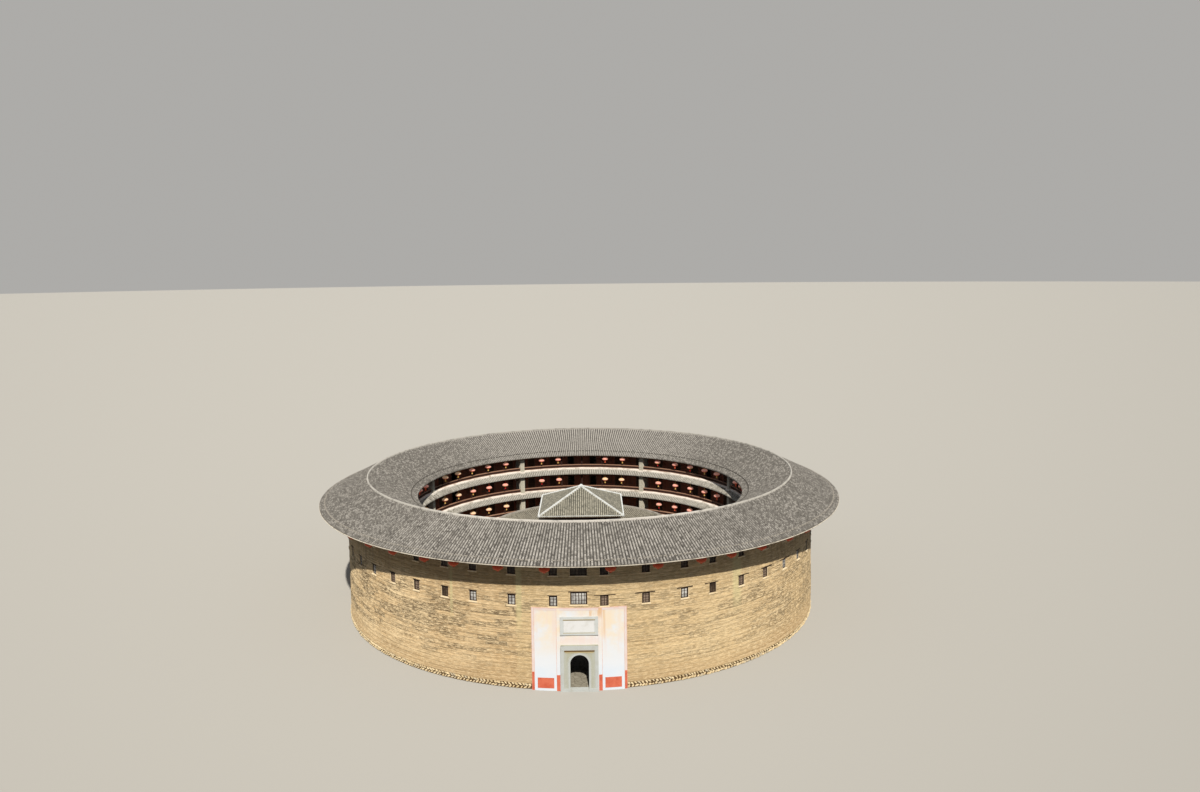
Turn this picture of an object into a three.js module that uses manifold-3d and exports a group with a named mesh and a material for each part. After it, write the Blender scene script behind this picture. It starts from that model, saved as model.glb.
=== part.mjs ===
// A tulou roundhouse: a ring of four storeys behind a rammed-earth wall, with a lower
// ring and a square hall in its court. Modelled at half its real size.
// Millimetres, +Z up. The origin is the centre of the court at ground level.
// The entrance faces -Y, and angles run from the entrance towards +X.

import * as THREE from "three";
import { mergeVertices } from "three/addons/utils/BufferGeometryUtils.js";
import Module from "manifold-3d";

const wasm = await Module();
wasm.setup();

// Sizes are written in metres of the real building, times this.
const modelScale = 1 / 2;
const metre = 1000 * modelScale;

const facets = 48;
const seatGap = 0.3;
const weldDistance = 1e-3;
// Cutting shapes run this far out, and solids of whole discs start this near the axis.
const far = 60 * metre;
const hub = 0.1 * metre;
// The middle of a facet lies this much nearer the axis than its corners.
const facetShrink = Math.cos(Math.PI / facets);

// Floor levels from the ground storey to the fourth, and how thick a floor is.
const floorTop = [0.2, 4.3, 7.5, 10.7].map((height) => height * metre);
const floorThickness = 0.25 * metre;

const wall = {
  innerRadius: 27.3 * metre,
  footRadius: 28.6 * metre,
  topRadius: 28.35 * metre,
  footingHeight: 0.6 * metre,
  // The windows are all in the upper wall. Its stretches end between them.
  upperFrom: 8.25 * metre,
  lowerSegments: { right: [24.4, 180], left: [180, 335.6] },
  upperSegments: {
    front: [-9.4, 9.4],
    front_right: [9.4, 24.4],
    front_left: [-24.4, -9.4],
    right: [24.4, 110],
    left: [-110, -24.4],
    back: [171.87, 188.13],
    back_right: [110, 171.87],
    back_left: [-171.87, -110],
  },
};

const roof = {
  outerEave: [31.65 * metre, 13.6 * metre],
  ridge: [26.0 * metre, 16.32 * metre],
  innerEave: [20.15 * metre, 13.43 * metre],
  thickness: 0.32 * metre,
  eaveThickness: 0.18 * metre,
  eaveRun: 0.4 * metre,
  capHalfWidth: 0.2 * metre,
  capTop: 16.48 * metre,
  capShoulder: 16.22 * metre,
  segments: { front: [-45, 45], right: [45, 135], back: [135, 225], left: [225, 315] },
};

// The timber part of the outer ring: room fronts, and the gallery in front of them.
const rooms = { frontRadius: 23.3 * metre, frontThickness: 0.14 * metre };
const gallery = {
  edgeRadius: 21.25 * metre,
  depth: 0.18 * metre,
  parapetHeight: 0.97 * metre,
  postWidth: 0.2 * metre,
  postInset: 0.01 * metre,
  beamHeight: 0.3 * metre,
};
const waistEave = {
  topAboveFloor: 0.53 * metre,
  lipAboveFloor: -0.1 * metre,
  lipRadius: 20.35 * metre,
  lipThickness: 0.16 * metre,
  topThickness: 0.208 * metre,
};

// Brick fire walls close the eight sectors. Their ends stand at the gallery's edge.
const pier = {
  angles: [24.4, 70, 110, 155.6],
  innerRadius: 21.0 * metre,
  thickness: 0.6 * metre,
  doorFrom: 21.75 * metre,
  doorTo: 22.75 * metre,
  doorHeight: 2.1 * metre,
  doorFootHeight: 0.7 * metre,
  doorFootWidth: 0.25 * metre,
};
// Bays of rooms in each sector, from the entrance round to the back.
const sectorBays = [
  { from: -24.4, to: 24.4, count: 7 },
  { from: 24.4, to: 70, count: 6 },
  { from: 70, to: 110, count: 6 },
  { from: 110, to: 155.6, count: 6 },
  { from: 155.6, to: 204.4, count: 6 },
];

// Windows of the third and fourth storeys, in degrees from the entrance.
const windows = {
  width: 0.86 * metre,
  height: 1.1 * metre,
  sills: [8.5 * metre, 11.6 * metre],
  entranceWidth: 1.68 * metre,
  entranceHeight: 1.31 * metre,
  entranceSills: [8.69 * metre, 11.6 * metre],
  besideEntrance: [5.0, 13.35, 21.6],
};

const roomDoor = { width: 0.9 * metre, height: 2.1 * metre, baysFromStart: 2.5 };
const entranceHall = { width: 2.4 * metre, height: 2.8 * metre };

const doorway = {
  width: 1.83 * metre,
  springing: 2.87 * metre,
  archSegments: 12,
  cutDepth: 3 * metre,
  stepOverlap: 0.2 * metre,
};
const portal = {
  width: 3.69 * metre,
  height: 4.7 * metre,
  faceRadius: 28.86 * metre,
  ledgeWidth: 3.0 * metre,
  ledgeLevel: 4.24 * metre,
  ledgeHeight: 0.1 * metre,
  ledgeReach: 0.12 * metre,
  sillWidth: 3.66 * metre,
};
const render = { halfAngle: 9.37, height: 8.4 * metre, thickness: 0.08 * metre };
const nameBoard = {
  width: 3.71 * metre,
  low: 5.72 * metre,
  high: 7.56 * metre,
  faceRadius: 28.74 * metre,
  fieldWidth: 2.98 * metre,
  fieldLow: 6.05 * metre,
  fieldHigh: 7.21 * metre,
  fieldDepth: 0.04 * metre,
};

const groundFloorEdge = 20.4 * metre;

const innerRing = {
  baseFrom: 9.6 * metre,
  baseTo: 14.3 * metre,
  baseHeight: 0.25 * metre,
  wallRadius: 13.9 * metre,
  wallThickness: 0.3 * metre,
  frameRadius: 10.1 * metre,
  beamLow: 6.65 * metre,
  posts: 16,
  baysAtHall: 3.2,
  ridge: [11.8 * metre, 8.23 * metre],
  outerEave: [14.7 * metre, 6.75 * metre],
  innerEave: [8.9 * metre, 6.75 * metre],
  roofThickness: 0.26 * metre,
  roofEaveThickness: 0.16 * metre,
  roofEaveRun: 0.35 * metre,
  gateWidth: 2.4 * metre,
  gateHeight: 3.0 * metre,
  walkAngles: [0, 90, -90],
  walkWidth: 3.0 * metre,
  walkHeight: 0.2 * metre,
  walkOverlap: 0.1 * metre,
};

const hall = {
  centreY: 6.5 * metre,
  side: 9.4 * metre,
  wallThickness: 0.3 * metre,
  wallTop: 9.2 * metre,
  porchDepth: 1.8 * metre,
  baseSide: 10.0 * metre,
  baseHeight: 0.45 * metre,
  columnRadius: 0.24 * metre,
  columnSides: 12,
  columnSpread: [1.5 * metre, 4.4 * metre],
  columnInset: 0.05 * metre,
  columnIntoBeam: 0.02 * metre,
  beamHeight: 0.5 * metre,
  roofSide: 11.05 * metre,
  roofEave: 9.4 * metre,
  roofApex: 12.05 * metre,
  soffitHalf: 4.35 * metre,
  innerApex: 11.75 * metre,
  hipWidth: 0.3 * metre,
  hipHeight: 0.15 * metre,
  hipEndInset: 0.1 * metre,
};

const finishes = {
  rubble: new THREE.MeshStandardMaterial({ color: 0x8f8674, roughness: 0.95, metalness: 0 }),
  earth: new THREE.MeshStandardMaterial({ color: 0xb99c66, roughness: 0.96, metalness: 0 }),
  tile: new THREE.MeshStandardMaterial({ color: 0x7b7871, roughness: 0.85, metalness: 0 }),
  timber: new THREE.MeshStandardMaterial({ color: 0x4a2c1f, roughness: 0.7, metalness: 0 }),
  boards: new THREE.MeshStandardMaterial({ color: 0x5b3d2a, roughness: 0.8, metalness: 0 }),
  brick: new THREE.MeshStandardMaterial({ color: 0xb5ad98, roughness: 0.9, metalness: 0 }),
  whitewash: new THREE.MeshStandardMaterial({ color: 0xe9e0cf, roughness: 0.9, metalness: 0 }),
  granite: new THREE.MeshStandardMaterial({ color: 0xa9aca0, roughness: 0.75, metalness: 0 }),
  paving: new THREE.MeshStandardMaterial({ color: 0x9a968b, roughness: 0.9, metalness: 0 }),
};

// Geometry helpers

function toSolid(geometry) {
  let closed = geometry.index ? geometry.toNonIndexed() : geometry.clone();
  closed.deleteAttribute("normal");
  closed.deleteAttribute("uv");
  closed = mergeVertices(closed, weldDistance);
  return new wasm.Manifold(new wasm.Mesh({
    numProp: 3,
    vertProperties: new Float32Array(closed.attributes.position.array),
    triVerts: new Uint32Array(closed.index.array),
  }));
}

function toGeometry(solid) {
  const mesh = solid.getMesh();
  const geometry = new THREE.BufferGeometry();
  geometry.setAttribute("position", new THREE.BufferAttribute(mesh.vertProperties, 3));
  geometry.setIndex(new THREE.BufferAttribute(mesh.triVerts, 1));
  const flat = geometry.toNonIndexed();
  flat.computeVertexNormals();
  return flat;
}

const joined = (solids) => solids.reduce((all, solid) => all.add(solid));
const radians = THREE.MathUtils.degToRad;

// A full ring turned round the Z axis from a closed outline of [radius, height] points.
function ring(outline, sides = facets) {
  const points = [...outline, outline[0]].map(([radius, height]) => new THREE.Vector2(radius, height));
  const solid = toSolid(new THREE.LatheGeometry(points, sides).rotateX(Math.PI / 2));
  if (solid.volume() > 0) return solid;
  const turned = points.reverse();
  return toSolid(new THREE.LatheGeometry(turned, sides).rotateX(Math.PI / 2));
}

function flatRing(innerRadius, outerRadius, low, high) {
  return ring([[innerRadius, low], [outerRadius, low], [outerRadius, high], [innerRadius, high]]);
}

// A box with its faces at the given limits.
function box([x0, y0, z0], [x1, y1, z1]) {
  const geometry = new THREE.BoxGeometry(x1 - x0, y1 - y0, z1 - z0);
  return toSolid(geometry.translate((x0 + x1) / 2, (y0 + y1) / 2, (z0 + z1) / 2));
}

// A box that lies along a radius: across it, from one radius to another, between two heights.
function radialBox(angle, width, fromRadius, toRadius, low, high) {
  const geometry = new THREE.BoxGeometry(width, toRadius - fromRadius, high - low);
  geometry.translate(0, -(fromRadius + toRadius) / 2, (low + high) / 2);
  return toSolid(geometry.rotateZ(radians(angle)));
}

// The stretch of a ring between two angles, held half a gap back from each end.
function stretch(solid, from, to) {
  const half = radians((to - from) / 2);
  const middle = radians((from + to) / 2);
  const direction = (angle) => new THREE.Vector2(Math.sin(angle), -Math.cos(angle));
  const apex = direction(middle).multiplyScalar(seatGap / 2 / Math.sin(half));
  const corners = [-half, -half / 3, half / 3, half].map((turn) => (
    direction(middle + turn).multiplyScalar(2 * far).add(apex)));
  const wedge = new THREE.ExtrudeGeometry(new THREE.Shape([apex, ...corners]), {
    depth: 2 * far, bevelEnabled: false,
  });
  return solid.intersect(toSolid(wedge.translate(0, 0, -far)));
}

const object = new THREE.Group();

function place(name, solid, finish) {
  const mesh = new THREE.Mesh(toGeometry(solid), finish);
  mesh.name = name;
  object.add(mesh);
}

// Where things stand

const mirrored = (angles) => angles.flatMap((angle) => [angle, -angle]);
const pierAngles = mirrored(pier.angles);

// Post angles between the fire walls, and the middles of the bays.
const postAngles = [];
const bayAngles = [];
for (const { from, to, count } of sectorBays) {
  const step = (to - from) / count;
  const symmetrical = from + to === 0 || from + to === 360;
  const angles = Array.from({ length: count - 1 }, (_, index) => from + step * (index + 1));
  postAngles.push(...(symmetrical ? angles : mirrored(angles)));
  const middles = Array.from({ length: count }, (_, index) => from + step * (index + 0.5));
  bayAngles.push(...(symmetrical ? middles : mirrored(middles)));
}
const inFrontSector = (angle) => Math.abs(angle) < pier.angles[0];
const windowAngles = [
  ...mirrored(windows.besideEntrance),
  ...bayAngles.filter((angle) => !inFrontSector(angle)),
];

// Height of the underside of the main roof at a radius.
function roofUnderside(radius) {
  const [eaveRadius, eaveHeight] = radius > roof.ridge[0] ? roof.outerEave : roof.innerEave;
  const slope = (roof.ridge[1] - eaveHeight) / (roof.ridge[0] - eaveRadius);
  return eaveHeight + slope * (radius - eaveRadius) - roof.thickness;
}

// All the space below the main roof, a gap short of it.
const belowRoof = ring([
  [hub, -metre],
  [roof.outerEave[0], -metre],
  [roof.outerEave[0], roofUnderside(roof.outerEave[0]) - seatGap],
  [roof.ridge[0], roofUnderside(roof.ridge[0]) - seatGap],
  [roof.innerEave[0], roofUnderside(roof.innerEave[0]) - seatGap],
  [hub, roofUnderside(roof.innerEave[0]) - seatGap],
]);

function wallRadiusAt(height) {
  return wall.footRadius + (wall.topRadius - wall.footRadius) * (height / roofUnderside(wall.topRadius));
}

// Doorway

// The arched space of the doorway, through the wall and everything on its face.
function doorwaySpace() {
  const half = doorway.width / 2;
  const outline = new THREE.Shape();
  outline.moveTo(-half, -metre);
  outline.lineTo(half, -metre);
  outline.lineTo(half, doorway.springing);
  outline.absarc(0, doorway.springing, half, 0, Math.PI, false);
  const tunnel = new THREE.ExtrudeGeometry(outline, {
    depth: doorway.cutDepth, bevelEnabled: false, curveSegments: doorway.archSegments,
  });
  return toSolid(tunnel.rotateX(Math.PI / 2).translate(0, -wall.innerRadius + metre, 0));
}
const doorwaySolid = doorwaySpace();

// Wall

function buildWall() {
  const inner = wall.innerRadius;
  const footing = ring([
    [inner, 0], [wall.footRadius, 0], [wallRadiusAt(wall.footingHeight), wall.footingHeight],
    [inner, wall.footingHeight],
  ]);
  const doorCut = box(
    [-doorway.width / 2, -wall.footRadius - metre, -metre],
    [doorway.width / 2, -wall.innerRadius + metre, metre],
  );
  place("stone_footing", footing.subtract(doorCut), finishes.rubble);

  const top = wall.topRadius;
  const body = ring([
    [inner, wall.footingHeight], [wallRadiusAt(wall.footingHeight), wall.footingHeight],
    [top, roofUnderside(top) - seatGap], [inner, roofUnderside(inner) - seatGap],
  ]);
  const holes = windows.sills.flatMap((sill, storey) => [
    ...windowAngles.map((angle) => (
      radialBox(angle, windows.width, inner - metre, top + metre, sill, sill + windows.height))),
    radialBox(0, windows.entranceWidth, inner - metre, top + metre,
      windows.entranceSills[storey], windows.entranceSills[storey] + windows.entranceHeight),
  ]);
  const upper = body
    .intersect(box([-far, -far, wall.upperFrom], [far, far, far]))
    .subtract(joined(holes));
  const lower = body.intersect(box([-far, -far, 0], [far, far, wall.upperFrom - seatGap]));

  const [first] = pier.angles;
  const front = stretch(lower, -first, first);
  const half = portal.width / 2;
  const low = doorway.springing;
  const overDoor = front.intersect(box([-half, -far, low], [half, 0, far])).subtract(doorwaySolid);
  const beside = front
    .subtract(box([-half - seatGap, -far, low], [half + seatGap, 0, far]))
    .subtract(doorwaySolid);
  place("wall_over_door", overDoor, finishes.earth);
  place("wall_front_left", beside.intersect(box([-far, -far, 0], [0, 0, far])), finishes.earth);
  place("wall_front_right", beside.intersect(box([0, -far, 0], [far, 0, far])), finishes.earth);
  for (const [side, [from, to]] of Object.entries(wall.lowerSegments)) {
    place(`wall_${side}`, stretch(lower, from, to), finishes.earth);
  }
  for (const [side, [from, to]] of Object.entries(wall.upperSegments)) {
    place(`upper_wall_${side}`, stretch(upper, from, to), finishes.earth);
  }
}

// The outline of a gabled ring roof with thin eaves.
function roofOutline({ outerEave, ridge, innerEave }, thickness, eaveThickness, eaveRun) {
  const slopeOut = (ridge[1] - outerEave[1]) / (ridge[0] - outerEave[0]);
  const slopeIn = (ridge[1] - innerEave[1]) / (ridge[0] - innerEave[0]);
  return {
    top: [outerEave, ridge, innerEave],
    under: [
      [innerEave[0], innerEave[1] - eaveThickness],
      [innerEave[0] + eaveRun, innerEave[1] + slopeIn * eaveRun - thickness],
      [ridge[0], ridge[1] - thickness],
      [outerEave[0] - eaveRun, outerEave[1] - slopeOut * eaveRun - thickness],
      [outerEave[0], outerEave[1] - eaveThickness],
    ],
  };
}

function buildMainRoof() {
  const { top, under } = roofOutline(roof, roof.thickness, roof.eaveThickness, roof.eaveRun);
  const half = roof.capHalfWidth;
  const ridgeRadius = roof.ridge[0];
  const cap = [
    [ridgeRadius + half, roof.capShoulder], [ridgeRadius + half, roof.capTop],
    [ridgeRadius - half, roof.capTop], [ridgeRadius - half, roof.capShoulder],
  ];
  const whole = ring([top[0], ...cap, top[2], ...under]);
  for (const [side, [from, to]] of Object.entries(roof.segments)) {
    place(`roof_${side}`, stretch(whole, from, to), finishes.tile);
  }
}

// Floors

const pierSlabs = (extra) => joined(pierAngles.map((angle) => radialBox(
  angle, pier.thickness + 2 * extra, pier.innerRadius - extra, rooms.frontRadius - seatGap + extra,
  floorTop[0], roof.ridge[1],
)));
const pierSpace = pierSlabs(seatGap);

function buildFloors() {
  const outer = wall.innerRadius - seatGap;
  const doorstep = box(
    [-doorway.width / 2 + seatGap, -wall.footRadius + seatGap, 0],
    [doorway.width / 2 - seatGap, -outer + doorway.stepOverlap, floorTop[0]],
  );
  place("ground_floor", flatRing(groundFloorEdge, outer, 0, floorTop[0]).add(doorstep), finishes.paving);
  floorTop.slice(1).forEach((level, index) => {
    const floor = flatRing(gallery.edgeRadius, outer, level - floorThickness, level);
    place(`floor_${index + 2}f`, floor.subtract(pierSpace), finishes.boards);
  });
}

// Timber fronts of the rooms. Each sector has a doorway on each storey.

function doorAngles(storey) {
  const perSector = sectorBays.slice(1).map(({ from, to, count }) => (
    from + (to - from) / count * roomDoor.baysFromStart));
  const angles = mirrored(perSector);
  return storey === 0 ? angles : [0, ...angles];
}

function buildRoomFronts() {
  const inner = rooms.frontRadius;
  const outer = inner + rooms.frontThickness;
  floorTop.forEach((level, storey) => {
    const last = storey === floorTop.length - 1;
    const top = last ? roof.ridge[1] : floorTop[storey + 1] - floorThickness;
    const doors = doorAngles(storey).map((angle) => radialBox(
      angle, roomDoor.width, inner - metre, outer + metre, level - metre, level + roomDoor.height));
    if (storey === 0) {
      doors.push(radialBox(0, entranceHall.width, inner - metre, outer + metre,
        level - metre, level + entranceHall.height));
    }
    const front = flatRing(inner, outer, level, top).subtract(joined(doors));
    place(`room_front_${storey + 1}f`, last ? front.intersect(belowRoof) : front, finishes.timber);
  });
}

// Gallery posts, which stand on the boarded parapet and carry the beam.

// The heights of one storey's gallery frame, from the floor to the top of the beam.
function galleryHeights(storey) {
  const last = storey === floorTop.length - 1;
  const floor = floorTop[storey];
  const beamTop = last ? roofUnderside(gallery.edgeRadius) : floorTop[storey + 1] - floorThickness;
  return {
    floor,
    parapetTop: storey === 0 ? floor : floor + gallery.parapetHeight,
    beamLow: beamTop - gallery.beamHeight,
    beamTop: last ? beamTop + gallery.beamHeight : beamTop,
    last,
  };
}

// The rings of that frame, each grown by a clearance where a pier is cut for it.
function galleryRings(storey, clearance) {
  const { floor, parapetTop, beamLow, beamTop } = galleryHeights(storey);
  const inner = gallery.edgeRadius - clearance;
  const outer = gallery.edgeRadius + gallery.depth + clearance;
  const beam = flatRing(inner, outer, beamLow - clearance, beamTop + clearance);
  if (parapetTop === floor) return [beam];
  return [beam, flatRing(inner, outer, floor - clearance, parapetTop + clearance)];
}

function buildGallery() {
  const inset = gallery.postInset;
  const from = gallery.edgeRadius + inset;
  const to = (gallery.edgeRadius + gallery.depth) * facetShrink - inset;
  floorTop.forEach((_, storey) => {
    const { parapetTop, beamLow, last } = galleryHeights(storey);
    const foot = storey === 0 ? parapetTop : parapetTop - inset;
    const posts = postAngles.map((angle) => (
      radialBox(angle, gallery.postWidth, from, to, foot, beamLow + inset)));
    const frame = joined([...galleryRings(storey, 0), ...posts]);
    place(`gallery_frame_${storey + 1}f`, last ? frame.intersect(belowRoof) : frame, finishes.timber);
  });
}

function buildWaistEaves() {
  floorTop.slice(1).forEach((level, index) => {
    const edge = gallery.edgeRadius - seatGap;
    const top = level + waistEave.topAboveFloor;
    const lip = level + waistEave.lipAboveFloor;
    const eave = ring([
      [edge, top], [waistEave.lipRadius, lip],
      [waistEave.lipRadius, lip - waistEave.lipThickness], [edge, top - waistEave.topThickness],
    ]);
    place(`waist_eave_${index + 2}f`, eave.subtract(pierSpace), finishes.tile);
  });
}

// Brick fire-wall ends, with a doorway for the gallery on each storey.

function pierDoorway(angle, level) {
  const { doorFrom, doorTo, doorHeight, doorFootHeight, doorFootWidth, thickness } = pier;
  const outline = new THREE.Shape();
  outline.moveTo(-doorFrom - doorFootWidth, level);
  outline.lineTo(-doorTo, level);
  outline.lineTo(-doorTo, level + doorHeight);
  outline.lineTo(-doorFrom, level + doorHeight);
  outline.lineTo(-doorFrom, level + doorFootHeight);
  const depth = 2 * thickness;
  const space = new THREE.ExtrudeGeometry(outline, { depth, bevelEnabled: false });
  space.rotateX(Math.PI / 2).rotateZ(Math.PI / 2).translate(-thickness, 0, 0);
  return toSolid(space.rotateZ(radians(angle)));
}

function buildPiers() {
  const slots = joined(floorTop.flatMap((_, storey) => galleryRings(storey, seatGap)));
  const roomFrontSpace = flatRing(rooms.frontRadius - seatGap, rooms.frontRadius + metre,
    0, roof.ridge[1]);
  const names = ["front", "front_side", "back_side", "back"];
  pier.angles.forEach((turn, index) => {
    for (const [side, angle] of [["right", turn], ["left", -turn]]) {
      const slab = radialBox(angle, pier.thickness, pier.innerRadius, rooms.frontRadius,
        floorTop[0], roof.ridge[1]).subtract(roomFrontSpace);
      const doorways = joined(floorTop.map((level) => pierDoorway(angle, level)));
      const solid = slab.subtract(doorways).subtract(slots).intersect(belowRoof);
      place(`brick_pier_${names[index]}_${side}`, solid, finishes.brick);
    }
  });
}

// Entrance

function buildEntrance() {
  const lowRadius = wall.footRadius + seatGap;
  const highRadius = wallRadiusAt(render.height) + seatGap;
  const skin = ring([
    [lowRadius, 0], [lowRadius + render.thickness, 0],
    [highRadius + render.thickness, render.height], [highRadius, render.height],
  ]);
  const half = portal.width / 2;
  const portalSpace = box([-half - seatGap, -far, -metre], [half + seatGap, 0, portal.height + seatGap]);
  const panel = stretch(skin, -render.halfAngle, render.halfAngle).subtract(portalSpace);
  place("entrance_render", panel, finishes.whitewash);

  // The space taken up by the wall and its render, for what stands on their faces.
  const wallSpace = ring([
    [wall.innerRadius - metre, -metre], [lowRadius, -metre],
    [lowRadius, 0], [highRadius, render.height],
    [wall.innerRadius - metre, render.height],
  ]);
  const face = -portal.faceRadius;
  const plate = box([-half, face, 0], [half, -wall.innerRadius, portal.height]);
  const ledge = box(
    [-portal.ledgeWidth / 2, face - portal.ledgeReach, portal.ledgeLevel - portal.ledgeHeight],
    [portal.ledgeWidth / 2, -wall.innerRadius, portal.ledgeLevel],
  );
  const sill = box(
    [-portal.sillWidth / 2, face, 0], [portal.sillWidth / 2, -wall.footRadius, floorTop[0]],
  );
  const arch = plate.add(ledge).subtract(doorwaySolid).add(sill).subtract(wallSpace);
  place("granite_portal", arch, finishes.granite);

  const board = box(
    [-nameBoard.width / 2, -nameBoard.faceRadius, nameBoard.low],
    [nameBoard.width / 2, -wall.innerRadius, nameBoard.high],
  );
  const field = box(
    [-nameBoard.fieldWidth / 2, -far, nameBoard.fieldLow],
    [nameBoard.fieldWidth / 2, -nameBoard.faceRadius + nameBoard.fieldDepth, nameBoard.fieldHigh],
  );
  const renderSpace = wallSpace.add(ring([
    [wall.innerRadius, 0], [lowRadius + render.thickness + seatGap, 0],
    [highRadius + render.thickness + seatGap, render.height], [wall.innerRadius, render.height],
  ]));
  place("name_board", board.subtract(field).subtract(renderSpace), finishes.granite);
}

// Court: the low inner ring, and the square hall that stands in its far side

const hallFront = hall.centreY - hall.side / 2;
const hallBack = hall.centreY + hall.side / 2;

function hallBlock(half, front, back, low, high, extra) {
  return box([-half - extra, front - extra, low], [half + extra, back + extra, high]);
}

function buildInnerRing() {
  const { baseFrom, baseTo, baseHeight, wallRadius, wallThickness, frameRadius } = innerRing;
  const walks = innerRing.walkAngles.map((angle) => radialBox(angle, innerRing.walkWidth,
    baseTo * facetShrink - innerRing.walkOverlap, groundFloorEdge, 0, innerRing.walkHeight));
  const groundFloorSpace = flatRing(groundFloorEdge - seatGap, groundFloorEdge + metre, -metre, metre);
  const baseSpace = hallBlock(hall.baseSide / 2, hall.centreY - hall.baseSide / 2, hallBack,
    -metre, metre, seatGap);
  const base = joined([flatRing(baseFrom, baseTo, 0, baseHeight), ...walks])
    .subtract(baseSpace)
    .subtract(groundFloorSpace);
  place("inner_ring_base", base, finishes.paving);

  const { top, under } = roofOutline(innerRing, innerRing.roofThickness,
    innerRing.roofEaveThickness, innerRing.roofEaveRun);
  const hallSpace = hallBlock(hall.side / 2, hallFront, hallBack, 0, hall.roofApex, seatGap);
  place("inner_ring_roof", ring([...top, ...under]).subtract(hallSpace), finishes.tile);

  const lowered = under.map(([radius, height]) => [radius, height - seatGap]);
  const below = ring([
    [hub, 0], [under[4][0], 0], ...lowered.slice().reverse(), [hub, lowered[0][1]],
  ]);
  const gate = radialBox(0, innerRing.gateWidth, wallRadius - metre, wallRadius + metre,
    -metre, baseHeight + innerRing.gateHeight);
  const ringWall = flatRing(wallRadius - wallThickness, wallRadius, baseHeight, hall.roofApex)
    .subtract(gate)
    .intersect(below);
  place("inner_ring_wall", ringWall, finishes.whitewash);

  const { postWidth, postInset: inset, depth } = gallery;
  const beam = flatRing(frameRadius, frameRadius + depth, innerRing.beamLow, hall.roofApex);
  const spacing = 360 / innerRing.posts;
  const posts = Array.from({ length: innerRing.posts }, (_, index) => spacing * (index + 0.5))
    .filter((angle) => Math.abs(angle - 180) > spacing * innerRing.baysAtHall / 2)
    .map((angle) => radialBox(angle, postWidth, frameRadius + inset,
      (frameRadius + depth) * facetShrink - inset, baseHeight, innerRing.beamLow + inset));
  const frame = joined([beam, ...posts]).subtract(hallSpace).intersect(below);
  place("inner_ring_frame", frame, finishes.timber);
}

function buildHall() {
  const half = hall.side / 2;
  const { wallThickness, wallTop, baseHeight } = hall;
  const base = hallBlock(hall.baseSide / 2, hall.centreY - hall.baseSide / 2, hallBack, 0, baseHeight, 0);
  place("hall_base", base, finishes.granite);

  const porch = hallFront + hall.porchDepth;
  const room = box([-half + wallThickness, hallFront - metre, 0],
    [half - wallThickness, hallBack - wallThickness, wallTop + metre]);
  const walls = hallBlock(half, porch, hallBack, baseHeight, wallTop, 0).subtract(room);
  place("hall_walls", walls, finishes.whitewash);

  const columnY = hallFront + hall.columnRadius + hall.columnInset;
  const beamLow = wallTop - hall.beamHeight;
  const columnTop = beamLow + hall.columnIntoBeam;
  const columns = mirrored(hall.columnSpread).map((x) => {
    const column = new THREE.CylinderGeometry(hall.columnRadius, hall.columnRadius,
      columnTop - baseHeight, hall.columnSides);
    return toSolid(column.rotateX(Math.PI / 2).translate(x, columnY, (columnTop + baseHeight) / 2));
  });
  const beamHalf = wallThickness / 2;
  const across = box([-half, columnY - beamHalf, beamLow], [half, columnY + beamHalf, wallTop]);
  const along = [-1, 1].map((side) => {
    const x = side * (half - beamHalf);
    return box([x - beamHalf, columnY, beamLow], [x + beamHalf, porch - seatGap, wallTop]);
  });
  place("hall_frame", joined([across, ...along, ...columns]), finishes.timber);

  // A square turned from four sides: its corners lie at half a side times the root of two.
  const corner = (halfSide) => halfSide * Math.SQRT2;
  const roofHalf = hall.roofSide / 2;
  const pyramid = ring([
    [0, hall.roofApex], [corner(roofHalf), hall.roofEave], [corner(roofHalf), wallTop],
    [corner(hall.soffitHalf), wallTop], [0, hall.innerApex],
  ], 4).rotate([0, 0, 45]);
  const reach = corner(roofHalf) - hall.hipEndInset;
  const lift = hall.hipHeight;
  const hips = [45, -45].map((turn) => {
    const outline = new THREE.Shape([
      new THREE.Vector2(-reach, wallTop), new THREE.Vector2(0, hall.innerApex),
      new THREE.Vector2(reach, wallTop), new THREE.Vector2(reach, hall.roofEave + lift),
      new THREE.Vector2(0, hall.roofApex + lift), new THREE.Vector2(-reach, hall.roofEave + lift),
    ]);
    const plate = new THREE.ExtrudeGeometry(outline, { depth: hall.hipWidth, bevelEnabled: false });
    plate.rotateX(Math.PI / 2).translate(0, hall.hipWidth / 2, 0);
    return toSolid(plate.rotateZ(radians(turn)));
  });
  const square = joined([pyramid, ...hips]).translate([0, hall.centreY, 0]);
  place("hall_roof", square, finishes.tile);
}

buildWall();
buildMainRoof();
buildFloors();
buildRoomFronts();
buildGallery();
buildWaistEaves();
buildPiers();
buildEntrance();
buildInnerRing();
buildHall();

export default object;
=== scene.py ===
# A tulou roundhouse at half its real size: a ring of four storeys behind a rammed-earth
# wall, with a lower ring and a square hall in its court. The entrance faces -Y.
# Everything is modelled in metres of the real house and halved when a piece is finished.
from math import asin, ceil, cos, degrees, floor, pi, radians, sin, sqrt
from random import Random

import bmesh
import bpy
from mathutils import Matrix, Vector, noise


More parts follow.
